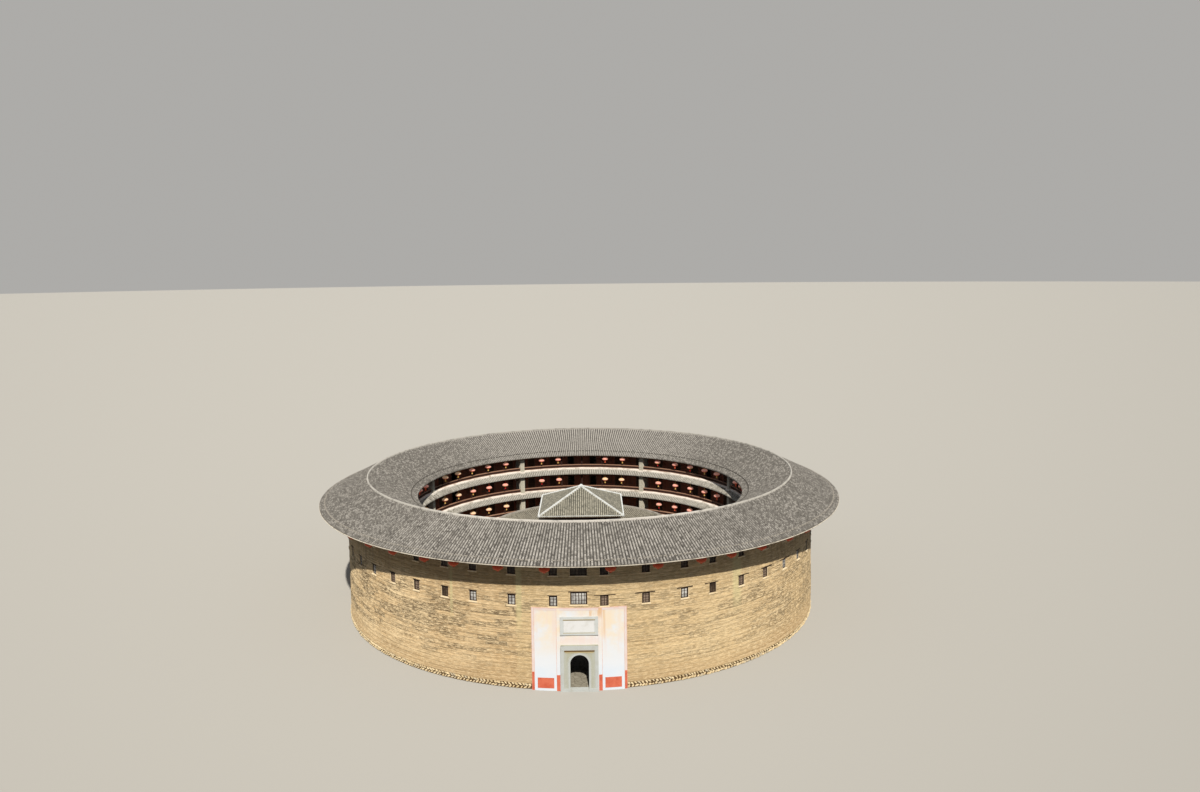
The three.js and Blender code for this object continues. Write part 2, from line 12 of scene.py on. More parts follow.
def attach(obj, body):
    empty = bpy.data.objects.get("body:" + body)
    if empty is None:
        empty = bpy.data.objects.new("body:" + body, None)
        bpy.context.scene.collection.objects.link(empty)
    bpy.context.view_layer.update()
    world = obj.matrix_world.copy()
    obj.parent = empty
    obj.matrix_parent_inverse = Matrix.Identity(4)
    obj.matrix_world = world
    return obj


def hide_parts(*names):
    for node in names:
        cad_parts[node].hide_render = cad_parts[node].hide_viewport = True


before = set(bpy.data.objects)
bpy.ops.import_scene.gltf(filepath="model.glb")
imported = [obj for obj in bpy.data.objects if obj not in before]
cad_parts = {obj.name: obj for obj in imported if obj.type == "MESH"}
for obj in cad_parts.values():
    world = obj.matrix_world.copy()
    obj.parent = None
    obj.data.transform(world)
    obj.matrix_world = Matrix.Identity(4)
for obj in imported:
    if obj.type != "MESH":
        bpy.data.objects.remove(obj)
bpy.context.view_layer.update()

metre = 0.5          # one metre of the real house, in the model
facetAngle = 7.5     # the ring's timber is laid out on straight stretches
facetCount = 48
floorTops = (0.2, 4.3, 7.5, 10.7)
pierAngles = (24.4, 70, 110, 155.6)
sectorBays = ((-24.4, 24.4, 7), (24.4, 70, 6), (70, 110, 6), (110, 155.6, 6), (155.6, 204.4, 6))
noise.seed_set(4)    # noise_vector, unlike noise, is otherwise seeded from the clock


# Places on the ring. Angles are degrees from the entrance towards +X.

def onRing(radius, angle, height):
    turn = radians(angle)
    return Vector((radius * sin(turn), -radius * cos(turn), height))


def turned(angle):
    return Matrix.Rotation(radians(angle), 4, "Z")


def facing(radius, angle, height=0.0):     # x along the wall, y into it, z up
    return turned(angle) @ Matrix.Translation((0, -radius, height))


def facetRadius(radius, angle):            # how far out a straight stretch is at an angle
    half = radians(facetAngle / 2)
    return radius * cos(half) / cos(radians(angle % facetAngle) - half)


def signed(angle):                         # the same angle between -180 and 180
    return (angle + 180) % 360 - 180


def mirrored(angles):
    return [side * angle for angle in angles for side in (1, -1)]


def bayAngles(shift, fewer=0):             # shift: how many bays from the start of a sector
    found = []
    for start, end, count in sectorBays:
        step = (end - start) / count
        angles = [start + step * (index + shift) for index in range(count - fewer)]
        found += angles if start + end in (0, 360) else mirrored(angles)
    return found


# Mesh helpers

def everything(bm):
    return bm.verts[:] + bm.edges[:] + bm.faces[:]


def facesOf(verts):
    return list({face for vert in verts for face in vert.link_faces})


def paint(faces, finish):
    for face in faces:
        face.material_index = finish


def addBox(bm, low, high, matrix=Matrix(), finish=0):
    low, high = Vector(low), Vector(high)
    place = matrix @ Matrix.Translation((low + high) / 2) @ Matrix.Diagonal((*(high - low), 1))
    made = bmesh.ops.create_cube(bm, size=1, matrix=place)["verts"]
    paint(facesOf(made), finish)
    return made


def addGrid(bm, across, up):               # from -0.5 to 0.5 both ways
    return bmesh.ops.create_grid(bm, x_segments=across, y_segments=up, size=0.5)["verts"]


def addRing(bm, outline, steps=192, finish=0, start=0.0, sweep=360.0):
    corners = [bm.verts.new(onRing(radius, start, height)) for radius, height in outline]
    edges = [bm.edges.new(pair) for pair in zip(corners, corners[1:] + corners[:1])]
    closed = sweep >= 360
    known = set(bm.faces)
    spun = bmesh.ops.spin(bm, geom=corners + edges, cent=(0, 0, 0), axis=(0, 0, 1), dvec=(0, 0, 0),
                          angle=radians(sweep), steps=steps, use_merge=closed, use_duplicate=False)
    if not closed:
        lastEdges = [item for item in spun["geom_last"] if isinstance(item, bmesh.types.BMEdge)]
        bmesh.ops.contextual_create(bm, geom=edges)
        bmesh.ops.contextual_create(bm, geom=lastEdges)
    faces = [face for face in bm.faces if face not in known]
    bmesh.ops.recalc_face_normals(bm, faces=faces)
    paint(faces, finish)
    return list({vert for face in faces for vert in face.verts})


def addRectangleRing(bm, near, far, low, high, **options):
    return addRing(bm, [(near, low), (far, low), (far, high), (near, high)], **options)


def repeatAround(bm, copies=facetCount - 1, step=facetAngle):
    bmesh.ops.spin(bm, geom=everything(bm), cent=(0, 0, 0), axis=(0, 0, 1), dvec=(0, 0, 0),
                   angle=radians(step * copies), steps=copies, use_merge=False, use_duplicate=True)


def cutAt(bm, point, normal, parts=None, tolerance=1e-4, clear=False):
    bmesh.ops.bisect_plane(bm, geom=parts or everything(bm), dist=tolerance, plane_co=point,
                           plane_no=normal, clear_outer=clear)


def roughen(verts, amount, size):          # moves each vertex with a smooth noise
    for vert in verts:
        vert.co += noise.noise_vector(vert.co / size) * amount


def asTemplate(bm):                        # a shape that stamp() sets down many times over
    template = bpy.data.meshes.new("template")
    bm.to_mesh(template)
    bm.free()
    return template


def stamp(bm, template, place):
    template.transform(place)
    bm.from_mesh(template)
    template.transform(place.inverted())


def addObject(name, data):
    made = bpy.data.objects.new(name, data)
    bpy.context.scene.collection.objects.link(made)
    return made


def finishPiece(name, bm, finishes, slotName, replaced=(), smoothUnder=None):
    bmesh.ops.scale(bm, vec=(metre, metre, metre), verts=bm.verts[:])
    mesh = bpy.data.meshes.new(name)
    bm.to_mesh(mesh)
    bm.free()
    for finish in finishes:
        mesh.materials.append(finish)
    if smoothUnder is not None:
        mesh.shade_smooth()
        mesh.set_sharp_from_angle(angle=radians(smoothUnder))
    piece = addObject(name, mesh)
    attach(piece, "root")
    if replaced:
        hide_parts(*replaced)
    print(f"{name}: {sum(len(face.vertices) - 2 for face in mesh.polygons)} triangles")


# Shader maths as expressions. A colour is a socket or a screen colour, 0 to 255.

class Socket:
    def __init__(self, finish, output):
        self.finish = finish
        self.output = output

    def math(self, operation, *others):
        return self.finish.node("ShaderNodeMath", {"operation": operation}, (self, *others))

    def __add__(self, other):
        return self.math("ADD", other)

    def __sub__(self, other):
        return self.math("SUBTRACT", other)

    def __rsub__(self, other):
        return self.finish.node("ShaderNodeMath", {"operation": "SUBTRACT"}, (other, self))

    def __mul__(self, other):
        return self.math("MULTIPLY", other)

    def __truediv__(self, other):
        return self.math("DIVIDE", other)

    def __gt__(self, other):
        return self.math("GREATER_THAN", other)

    def __lt__(self, other):
        return self.math("LESS_THAN", other)

    __radd__ = __add__
    __rmul__ = __mul__

    def size(self):
        return self.math("ABSOLUTE")

    def fraction(self):
        return self.math("FRACT")

    def whole(self):
        return self.math("FLOOR")

    def between(self, low, high):          # 0 below low, 1 above high, smooth in the middle
        settings = {"interpolation_type": "SMOOTHSTEP"}
        return self.finish.node("ShaderNodeMapRange", settings, (self, low, high))


def tint(colour):                          # as the shader wants it
    if isinstance(colour, Socket):
        return colour
    shares = [value / 255 for value in colour]
    return [share / 12.92 if share <= 0.04045 else ((share + 0.055) / 1.055) ** 2.4
            for share in shares] + [1.0]


class Finish:
    def __init__(self, name, roughness, specular):
        self.material = bpy.data.materials.new(name)
        self.material.use_nodes = True
        self.tree = self.material.node_tree
        self.shader = self.tree.nodes["Principled BSDF"]
        self.shader.inputs["Roughness"].default_value = roughness
        self.shader.inputs["Specular IOR Level"].default_value = specular
        self.shader.inputs["Diffuse Roughness"].default_value = roughness
        coordinates = self.node("ShaderNodeTexCoord", output="Object")
        self.place = self.node("ShaderNodeVectorMath", {"operation": "SCALE"},
                               {0: coordinates, "Scale": 1 / metre})

    def node(self, kind, settings=None, values=(), output=0):
        made = self.tree.nodes.new(kind)
        for name, value in (settings or {}).items():
            if name == "stops":
                while len(made.color_ramp.elements) < len(value):
                    made.color_ramp.elements.new(1.0)
                for element, (position, colour) in zip(made.color_ramp.elements, value):
                    element.position = position
                    element.color = colour
            else:
                setattr(made, name, value)
        for key, value in values.items() if isinstance(values, dict) else enumerate(values):
            self.feed(made.inputs[key], value)
        return Socket(self, made.outputs[output])

    def feed(self, entry, value):
        if isinstance(value, Socket):
            self.tree.links.new(value.output, entry)
        else:
            entry.default_value = value

    def axes(self, vector=None):
        split = self.node("ShaderNodeSeparateXYZ", None, (vector or self.place,))
        return [Socket(self, output) for output in split.output.node.outputs]

    def vector(self, x, y, z):
        return self.node("ShaderNodeCombineXYZ", None, (x, y, z))

    def ringPlace(self, centreY=0.0):      # radius, degrees from the entrance, height
        x, y, z = self.axes()
        y = y - centreY
        radius = (x * x + y * y).math("SQRT")
        return radius, x.math("ARCTAN2", y * -1) * (180 / pi), z

    def noise(self, scale, detail, roughness, vector=None):
        values = {"Vector": vector or self.place, "Scale": scale, "Detail": detail,
                  "Roughness": roughness}
        return self.node("ShaderNodeTexNoise", None, values)

    def random(self, *place):              # another value from 0 to 1 for each whole place
        return self.node("ShaderNodeTexWhiteNoise", {"noise_dimensions": "3D"},
                         {"Vector": self.vector(*place)})

    def attribute(self, name):
        return self.node("ShaderNodeAttribute", {"attribute_name": name}, output="Fac")

    def layers(self, colour, *layers):     # each layer: how much of the rest it covers, its colour
        for amount, layer in layers:
            colour = self.node("ShaderNodeMix", {"data_type": "RGBA"},
                               {0: amount, 6: tint(colour), 7: tint(layer)}, output=2)
        return colour

    def ramp(self, factor, *stops):
        stops = [(position, tint(colour)) for position, colour in stops]
        return self.node("ShaderNodeValToRGB", {"stops": stops}, (factor,))

    def use(self, colour, relief=None, depth=0.0, paintedGlow=None):   # depth in metres of the real house
        self.feed(self.shader.inputs["Base Color"], tint(colour))
        if relief:
            bump = self.node("ShaderNodeBump", None, {"Height": relief, "Distance": depth * metre})
            self.feed(self.shader.inputs["Normal"], bump)
        if paintedGlow:                           # a painted glow, standing in for daylight shining through
            self.feed(self.shader.inputs["Emission Color"], colour)
            self.shader.inputs["Emission Strength"].default_value = paintedGlow
        return self.material


# Finishes

def rammedEarth():
    look = {"radius": 28.5, "lift": 0.45, "board": 2.3,
            "base": (214, 186, 142), "pale": (242, 222, 182), "brown": (176, 148, 108),
            "dark": (106, 88, 64), "grey": (156, 138, 110), "eaveShade": (134, 110, 70),
            "olive": (206, 186, 142), "run": (206, 196, 150), "stain": (112, 102, 86),
            # paler runs below the eave: angle, width
            "runs": ((-11.9, 0.8), (-26.6, 0.45), (34.5, 1.6))}
    finish = Finish("rammed earth", 0.95, 0.15)
    radius, angle, height = finish.ringPlace()
    run = angle * radians(look["radius"])
    broad = finish.noise(0.16, 4, 0.6, finish.vector(run, radius, height))
    patches = finish.noise(0.5, 4, 0.6, finish.vector(run * 0.45, radius, height * 1.7))
    streaks = finish.noise(1.0, 6, 0.7, finish.vector(run * 0.17, radius, height * 3.8))
    strata = finish.noise(1.0, 4, 0.6, finish.vector(run * 0.07, 3.0, (height + broad * 0.3) * 8.5))
    grit = finish.noise(3.4, 5, 0.8, finish.vector(run * 0.38, radius, height * 2.1))
    flecks = finish.noise(4.2, 5, 0.8, finish.vector(run * 0.45, 5.0, height * 1.8))
    drips = finish.noise(1.0, 4, 0.65, finish.vector(run * 2.3, radius, height * 0.12))
    level = (height + broad * 0.5) / look["lift"]
    row = level.whole()
    line = (level.fraction() - 0.5).size().between(0.4, 0.5)
    board = (run / look["board"] + finish.random(row, 3.0, 1.0)).whole()
    shade = finish.random(board, row, 5.0)
    left = (angle < -12.4) * (angle > -150)       # browner, left of a joint by the entrance
    farSide = angle.size().between(30, 60)
    farRight = angle.between(28, 52)
    lowPart = 1 - height.between(0.6, 3.0)
    band = height.between(1.8, 3.6) * (1 - height.between(8.4, 10.4) * 0.75)
    worn = (patches * 0.75 + shade * 0.25).between(0.46, 0.6) * band * (left * 0.45 + 0.5)
    brownness = (1 - streaks.between(0.36, 0.58)) * (left * 0.1 + farSide * 0.1 + 0.8)
    chips = grit.between(0.49, 0.56) * (worn * 0.65 + farSide * 0.1 + 0.32) * (1 - lowPart * 0.5)
    runs = []
    for place, width in look["runs"]:
        edge = (angle - place + (streaks - 0.5) * 0.5).size()
        runDown = (1 - edge.between(width * 0.4, width)) * height.between(5.4, 8.6)
        runs.append((runDown * 0.6, look["run"]))
    colour = finish.layers(
        look["base"],
        (brownness, look["brown"]),
        (broad.between(0.4, 0.64) * 0.35, look["pale"]),
        ((1 - left) * 0.35, look["olive"]),
        (farRight * 0.5 + lowPart * 0.58, look["brown"]),
        (strata.between(0.52, 0.66) * (0.6 - lowPart * 0.3), look["brown"]),
        ((1 - strata.between(0.34, 0.46)) * (0.5 - lowPart * 0.1), look["pale"]),
        (worn * 0.35 + shade * 0.1, look["grey"]),
        (flecks.between(0.49, 0.56) * (worn * 0.4 + 0.5) * 0.85, look["pale"]),
        (chips * 0.8, look["dark"]),
        (line * (patches.between(0.35, 0.6) * 0.4 + 0.1), look["dark"]),
        *runs,
        # painted shade: the wall under the eave, where the eave's shadow falls, is painted darker,
        # more so on the left
        (height.between(9.6, 11.0) * (left * 0.25 + 0.12), look["eaveShade"]),
        (drips.between(0.46, 0.6) * height.between(8.6, 11.2) * (farSide * 0.3 + 0.08),
         look["stain"]))
    relief = streaks * 0.5 + grit * (worn + 0.4) - line * 0.2 - chips * 0.5
    return finish.use(colour, relief, 0.08)


def fieldStone():
    finish = Finish("field stone", 0.88, 0.3)
    grain = finish.noise(9.0, 4, 0.65)
    # the darkest stop colours the core between the stones: painted shade in the gaps, darker than
    # the mortar's own colour
    stone = finish.ramp(finish.attribute("stoneShade"), (0.1, (92, 70, 44)), (0.2, (206, 186, 146)),
                        (0.8, (232, 214, 176)), (1.0, (198, 186, 160)))
    colour = finish.layers(stone, (grain.between(0.4, 0.75) * 0.3, (150, 122, 82)))
    return finish.use(colour, grain, 0.02)


def roofTile(name, pale, middle, dark, pan, shadedFlank=(30, 70, 0.0), centreY=0.0):
    # where the sides begin to be painted darker than the front, a painted shade, where that is
    # full, and how much darker
    look = {"radius": 26, "lap": 0.2, "group": 0.39, "lichen": (168, 166, 150),
            "back": (105, 150), "backRadius": 26}     # the inward slope at the back, facing the sun, is painted paler: painted sunlight
    finish = Finish(name, 0.85, 0.25)
    shade = finish.attribute("tileShade")
    raised = finish.attribute("tileCover")
    radius, angle, height = finish.ringPlace(centreY)
    run = angle * radians(look["radius"])
    away = angle.size()
    facet = (angle / facetAngle).whole()
    lap = radius / look["lap"]
    group = finish.random(facet, (radius / look["group"]).whole(), 2.0)
    single = finish.random(shade * 57, lap.whole(), facet)
    blotch = finish.noise(0.3, 5, 0.65)
    runs = finish.noise(1.0, 4, 0.6, finish.vector(run * 1.1, radius * 0.16, height * 0.1))
    lichen = finish.noise(2.2, 5, 0.7)
    mottle = finish.noise(2.6, 5, 0.8)
    tone = (shade + group).fraction() * 0.55 + single * 0.45
    # painted light: the inward slope at the back is painted paler, as if more sunlit
    sunlitBack = away.between(*look["back"]) * (radius < look["backRadius"]) * 0.55
    begin, full, amount = shadedFlank
    # painted shade: the sides away from the front are painted darker, first some random tiles, then
    # all of them
    side = away.between(begin, full) * (1 - away.between(180 - full, 180 - begin))
    shadedSideTiles = finish.random(shade * 91, lap.whole(), facet + 7) < side * amount
    colour = finish.layers(
        finish.ramp(tone, (0.12, dark), (0.35, middle), (0.7, pale), (1.0, pale)),
        (blotch.between(0.45, 0.68) * 0.25 + runs.between(0.5, 0.68) * 0.25, dark),
        (mottle.between(0.5, 0.6) * 0.38, dark),
        ((1 - mottle.between(0.4, 0.5)) * 0.36 + sunlitBack, pale),
        ((1 - raised) * 0.85, pan),
        # painted shadow: a dark band at each 0.2 m lap, where a tile's lower end shades the tile
        # under it
        (lap.fraction().between(0.7, 0.95) * 0.4, pan),
        (lichen.between(0.55, 0.7) * 0.2, look["lichen"]),
        (shadedSideTiles * 0.5 + side * amount * 0.55, dark))
    return finish.use(colour, lap.fraction() * 0.5 + lichen * 0.6, 0.02)


def mortar(name, pale, dark, front=None):      # front: its tone on the side of the entrance
    finish = Finish(name, 0.92, 0.2)
    patch = finish.noise(1.3, 5, 0.65)
    grain = finish.noise(14.0, 3, 0.6)
    colour = finish.ramp(patch, (0.3, dark), (0.5, pale), (0.75, pale))
    if front:
        nearFront = 1 - finish.ringPlace()[1].size().between(18, 46)
        colour = finish.layers(colour, (nearFront * patch.between(0.3, 0.5), front))
    return finish.use(colour, grain + patch, 0.012)


def timber(name, dark, light, boardWidth, direction="up"):
    # direction names how the boards run: "up" on walls, "round" along the ring
    finish = Finish(name, 0.72, 0.3)
    radius, angle, height = finish.ringPlace()
    run = angle * (pi / 180) * radius
    across, along = (run, height) if direction == "up" else (height, run)
    board = across / boardWidth
    shade = finish.random(board.whole(), 1.0, 7.0)
    grain = finish.noise(1.0, 6, 0.6, finish.vector(across * 22, along * 1.4, radius * 6))
    seam = (board.fraction() - 0.5).size().between(0.44, 0.5)
    colour = finish.layers(dark, (grain * 0.6 + shade * 0.4, light), (seam * 0.7, (20, 12, 8)))
    return finish.use(colour, grain * 0.4 - seam, 0.012)


def paleBrick():
    look = {"length": 0.29, "course": 0.082, "joint": 0.009}
    finish = Finish("pale brick", 0.9, 0.2)
    radius, angle, height = finish.ringPlace()
    offset = angle.size().math("PINGPONG", 3.0) * 0.37
    settings = {"offset": 0.5, "squash": 1.0}
    values = {"Vector": finish.vector(radius + offset * 1.1, height, 0.0),
              "Color1": tint((208, 202, 184)), "Color2": tint((178, 171, 153)),
              "Mortar": tint((214, 211, 200)), "Scale": 1.0, "Mortar Size": look["joint"],
              "Mortar Smooth": 0.2, "Bias": 0.0, "Brick Width": look["length"],
              "Row Height": look["course"]}
    brick, joint = (finish.node("ShaderNodeTexBrick", settings, values, output=output)
                    for output in ("Color", "Fac"))
    patch = finish.noise(0.9, 5, 0.6)
    colour = finish.layers(brick, (patch.between(0.4, 0.7) * 0.5, (196, 190, 172)))
    return finish.use(colour, patch * 0.4 - joint, 0.012)


def whitewash():
    look = {"radius": 28.6, "white": (220, 223, 227), "cream": (230, 214, 188),
            "pink": (224, 208, 202), "rust": (214, 174, 120), "blue": (210, 220, 230)}
    finish = Finish("whitewash", 0.9, 0.2)
    radius, angle, height = finish.ringPlace()
    run = angle * radians(look["radius"])
    drip = finish.noise(1.0, 5, 0.65, finish.vector(run * 2.8, radius, height * 0.2))
    patch = finish.noise(0.6, 5, 0.65)
    fine = finish.noise(7.0, 4, 0.6)
    high = height.between(2.6, 6.4)
    overDoor = (run.size() < 1.85) * height.between(4.6, 5.0) * (1 - height.between(5.2, 5.7))
    besideBoard = (run > 1.0) * (run < 2.4) * height.between(7.1, 8.0)
    thinRun = (1 - (run - 2.45).size().between(0.03, 0.16)) * height.between(4.4, 6.6)
    colour = finish.layers(
        look["white"],
        (patch.between(0.3, 0.65) * high * 0.8, look["cream"]),
        (drip.between(0.48, 0.66) * high * 0.5, look["pink"]),
        ((1 - height.between(1.8, 3.0)) * patch.between(0.3, 0.6) * 0.6, look["blue"]),
        (overDoor * 0.5, look["pink"]),
        (drip.between(0.42, 0.6) * besideBoard * 0.7 + thinRun * 0.4, look["rust"]))
    return finish.use(colour, fine * 0.5 + patch, 0.01)


def limewash():
    finish = Finish("limewash", 0.9, 0.2)
    patch = finish.noise(0.8, 5, 0.65)
    colour = finish.layers((214, 206, 190), (patch.between(0.4, 0.72), (172, 160, 134)))
    return finish.use(colour, finish.noise(8.0, 3, 0.6) * 0.5 + patch, 0.01)


def granite(name, base, speck):
    finish = Finish(name, 0.62, 0.4)
    grain = finish.noise(30.0, 3, 0.7)
    patch = finish.noise(1.1, 4, 0.6)
    colour = finish.layers(base, (grain.between(0.4, 0.62) * 0.4, speck),
                           (patch.between(0.45, 0.75) * 0.25, (160, 152, 128)))
    return finish.use(colour, grain, 0.004)


def stonePaving():
    finish = Finish("stone paving", 0.85, 0.25)
    values = {"Vector": finish.place, "Scale": 1.7}
    cells = finish.node("ShaderNodeTexVoronoi", {"feature": "F1"}, values, output="Color")
    edge = finish.node("ShaderNodeTexVoronoi", {"feature": "DISTANCE_TO_EDGE"}, values)
    grain = finish.noise(7.0, 4, 0.6)
    colour = finish.layers((146, 140, 126), (finish.axes(cells)[0], (128, 122, 108)),
                           (grain.between(0.4, 0.7) * 0.3, (158, 152, 136)),
                           (1 - edge.between(0.01, 0.05), (100, 94, 80)))
    return finish.use(colour, edge.between(0.0, 0.08) + grain * 0.3, 0.02)


def cloudy(name, first, second, clouds, edges, depth=0.0, gloss=(0.88, 0.2)):
    # two tones in clouds, given as a noise's scale, detail and roughness
    finish = Finish(name, *gloss)
    cloud = finish.noise(*clouds)
    colour = finish.layers(first, (cloud.between(*edges), second))
    return finish.use(colour, cloud if depth else None, depth)


def silk(name, base, shadow, paintedGlow):
    finish = Finish(name, 0.5, 0.35)
    weave = finish.noise(16.0, 3, 0.6)
    colour = finish.layers(base, (weave.between(0.3, 0.75) * 0.6, shadow))
    return finish.use(colour, weave, 0.004, paintedGlow)


earthFinish = rammedEarth()
stoneFinish = fieldStone()
tileFinish = roofTile("grey roof tile", (188, 183, 175), (154, 149, 141), (102, 98, 92),
                      (60, 57, 54), shadedFlank=(12, 60, 0.5))
lowTileFinish = roofTile("shaded roof tile", (166, 160, 144), (133, 127, 113), (94, 89, 78),
                         (52, 48, 43))
hallTileFinish = roofTile("green grey roof tile", (190, 185, 168), (168, 163, 146),
                          (120, 118, 108), (66, 64, 56), shadedFlank=(44, 46, 0.62), centreY=6.5)
waistTileFinish = roofTile("pale roof tile", (204, 200, 190), (170, 165, 154), (120, 114, 104),
                           (104, 99, 90))
earthyTile = mortar("weight bricks", (156, 150, 140), (112, 106, 97))
# painted shade: the inner ring of weight bricks is painted darker than the outer, standing in for
# the thin shadow line along the inner eave
shadowLineBrick = mortar("weight bricks painted dark as a shadow line", (92, 88, 82), (70, 66, 61))
mortarFinish = mortar("grey mortar", (178, 174, 166), (136, 132, 125), (208, 203, 195))
whiteMortar = mortar("white mortar", (214, 216, 214), (184, 185, 180))
creamMortar = mortar("cream mortar", (232, 224, 214), (178, 168, 152))
eaveMortar = mortar("eave mortar", (206, 198, 182), (112, 100, 86))
revealFinish = mortar("window plaster", (230, 212, 178), (204, 180, 138))
darkTimber = timber("dark timber", (50, 28, 20), (92, 54, 40), 0.22)
parapetTimber = timber("parapet boards", (34, 20, 15), (66, 38, 29), 0.22)
# painted light: the room fronts are painted paler than their timber, standing in for light bounced
# in from the galleries and the court
bounceLitRoomTimber = timber("room front boards painted pale as bounce light", (168, 94, 70), (208, 138, 106), 0.24)
redTimber = timber("faded rail timber", (126, 90, 72), (176, 138, 114), 0.2, "round")
frameTimber = timber("window timber", (38, 26, 18), (70, 50, 36), 0.1)
shutterTimber = timber("shutter timber", (136, 116, 100), (164, 146, 128), 0.12)
boardTimber = timber("floor boards", (84, 58, 40), (126, 94, 68), 0.24, "round")
eaveTimber = timber("eave timber", (60, 42, 30), (104, 80, 58), 0.3)
brickFinish = paleBrick()
washFinish = whitewash()
limeFinish = limewash()
washClouds, washEdges = (1.4, 5, 0.65), (0.35, 0.7)
redFinish = cloudy("red wash", (212, 118, 90), (198, 98, 72), (1.6, 4, 0.6), washEdges, 0.006,
                   (0.85, 0.25))
pinkFinish = cloudy("faded pink wash", (221, 211, 208), (221, 203, 194), washClouds, washEdges,
                    0.006)
roseFinish = cloudy("rose edge wash", (219, 194, 186), (214, 180, 168), washClouds, washEdges,
                    0.006)
glass = {"clouds": (1.9, 3, 0.6), "edges": (0.4, 0.6), "gloss": (0.25, 0.4)}
# painted reflection: the panes are opaque and pale in clouds, standing in for the sky they reflect
skyReflectionGlass = cloudy("window glass with a painted reflection", (204, 202, 196), (158, 156, 152), **glass)
# painted shade: dark panes for windows in the eave's shadow and for open windows onto dark rooms
shadowedGlass = cloudy("unlit window", (92, 78, 62), (54, 44, 34), **glass)
graniteFinish = granite("granite", (196, 199, 196), (162, 166, 163))
mossGranite = granite("weathered granite", (184, 184, 166), (154, 154, 138))
giltFinish = granite("gilt line", (164, 144, 92), (132, 112, 66))
# painted shadow: the portal's ledge is painted dark brown for the shadow line along it
ledgeShadowFinish = granite("ledge painted dark as its shadow line", (120, 92, 50), (88, 66, 36))
strawFinish = granite("straw tint on granite", (196, 182, 142), (168, 156, 120))
bareBoard = granite("bare white board", (223, 223, 222), (213, 213, 212))
boardStone = granite("pale granite", (206, 209, 207), (180, 184, 184))
pavingFinish = stonePaving()
# the last number of each silk is a painted glow: the silk shines by itself
redSilk = silk("red lantern silk", (178, 70, 36), (142, 46, 22), 0.14)
scarletSilk = silk("scarlet tassel", (196, 40, 34), (140, 24, 20), 0.1)
# painted highlight: these two paler silks cover only the lanterns' upper halves, standing in for
# sunlight on their tops
sunlitTopPinkSilk = silk("pink lantern silk with a painted sunlit top", (238, 178, 160), (226, 140, 118), 0.2)
sunlitTopPaleSilk = silk("pale lantern silk with a painted sunlit top", (240, 208, 172), (230, 172, 130), 0.2)
coralSilk = silk("coral lantern silk", (214, 96, 62), (180, 62, 40), 0.15)
goldSilk = silk("gold tassel", (222, 180, 104), (176, 130, 64), 0.12)
print("finishes made")

for nodeName, finish in {
    "ground_floor": pavingFinish, "inner_ring_base": pavingFinish, "hall_base": graniteFinish,
    "inner_ring_wall": limeFinish, "hall_walls": limeFinish,
    "inner_ring_frame": darkTimber, "hall_frame": darkTimber,
    **{f"floor_{storey}f": boardTimber for storey in (2, 3, 4)},
    **{f"room_front_{storey}f": bounceLitRoomTimber for storey in (1, 2, 3, 4)},
    **{f"gallery_frame_{storey}f": parapetTimber for storey in (1, 2, 3, 4)},
    **{f"brick_pier_{place}_{side}": brickFinish for side in ("right", "left")
       for place in ("front", "front_side", "back_side", "back")},
}.items():
    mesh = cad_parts[nodeName].data
    mesh.materials.clear()
    mesh.materials.append(finish)


# Rammed-earth wall: an unrolled sheet, cut at its windows, then wrapped and given its thickness

wall = {
    "innerRadius": 27.3,
    "footRadius": 28.6,
    "topRadius": 28.35,
    "foot": 0.6,
    "top": 14.84,
    "eaveHeight": 14.87,           # where it has its top radius
    "cell": (0.8, 0.42),           # degrees round, metres up
    "roughness": ((0.06, 2.6), (0.03, 0.7)),
    "doorHalf": 1.25,
    "doorTop": 4.1,
}
windows = {
    "size": (0.86, 1.1),
    "sills": (8.5, 11.6),
    "entranceSize": (1.68, 1.31),
    "entranceSills": (8.69, 11.6),
    "besideEntrance": (5.0, 13.35, 21.6),
}


def wallRadiusAt(height):
    lean = wall["topRadius"] - wall["footRadius"]
    return wall["footRadius"] + lean * height / wall["eaveHeight"]


def windowPlaces():                        # angle, sill, width, height of each window
    angles = mirrored(windows["besideEntrance"])
    angles += [signed(angle) for angle in bayAngles(0.5) if abs(angle) > pierAngles[0]]
    places = []
    for storey in (0, 1):
        places.append((0.0, windows["entranceSills"][storey], *windows["entranceSize"]))
        places += [(angle, windows["sills"][storey], *windows["size"]) for angle in angles]
    return places


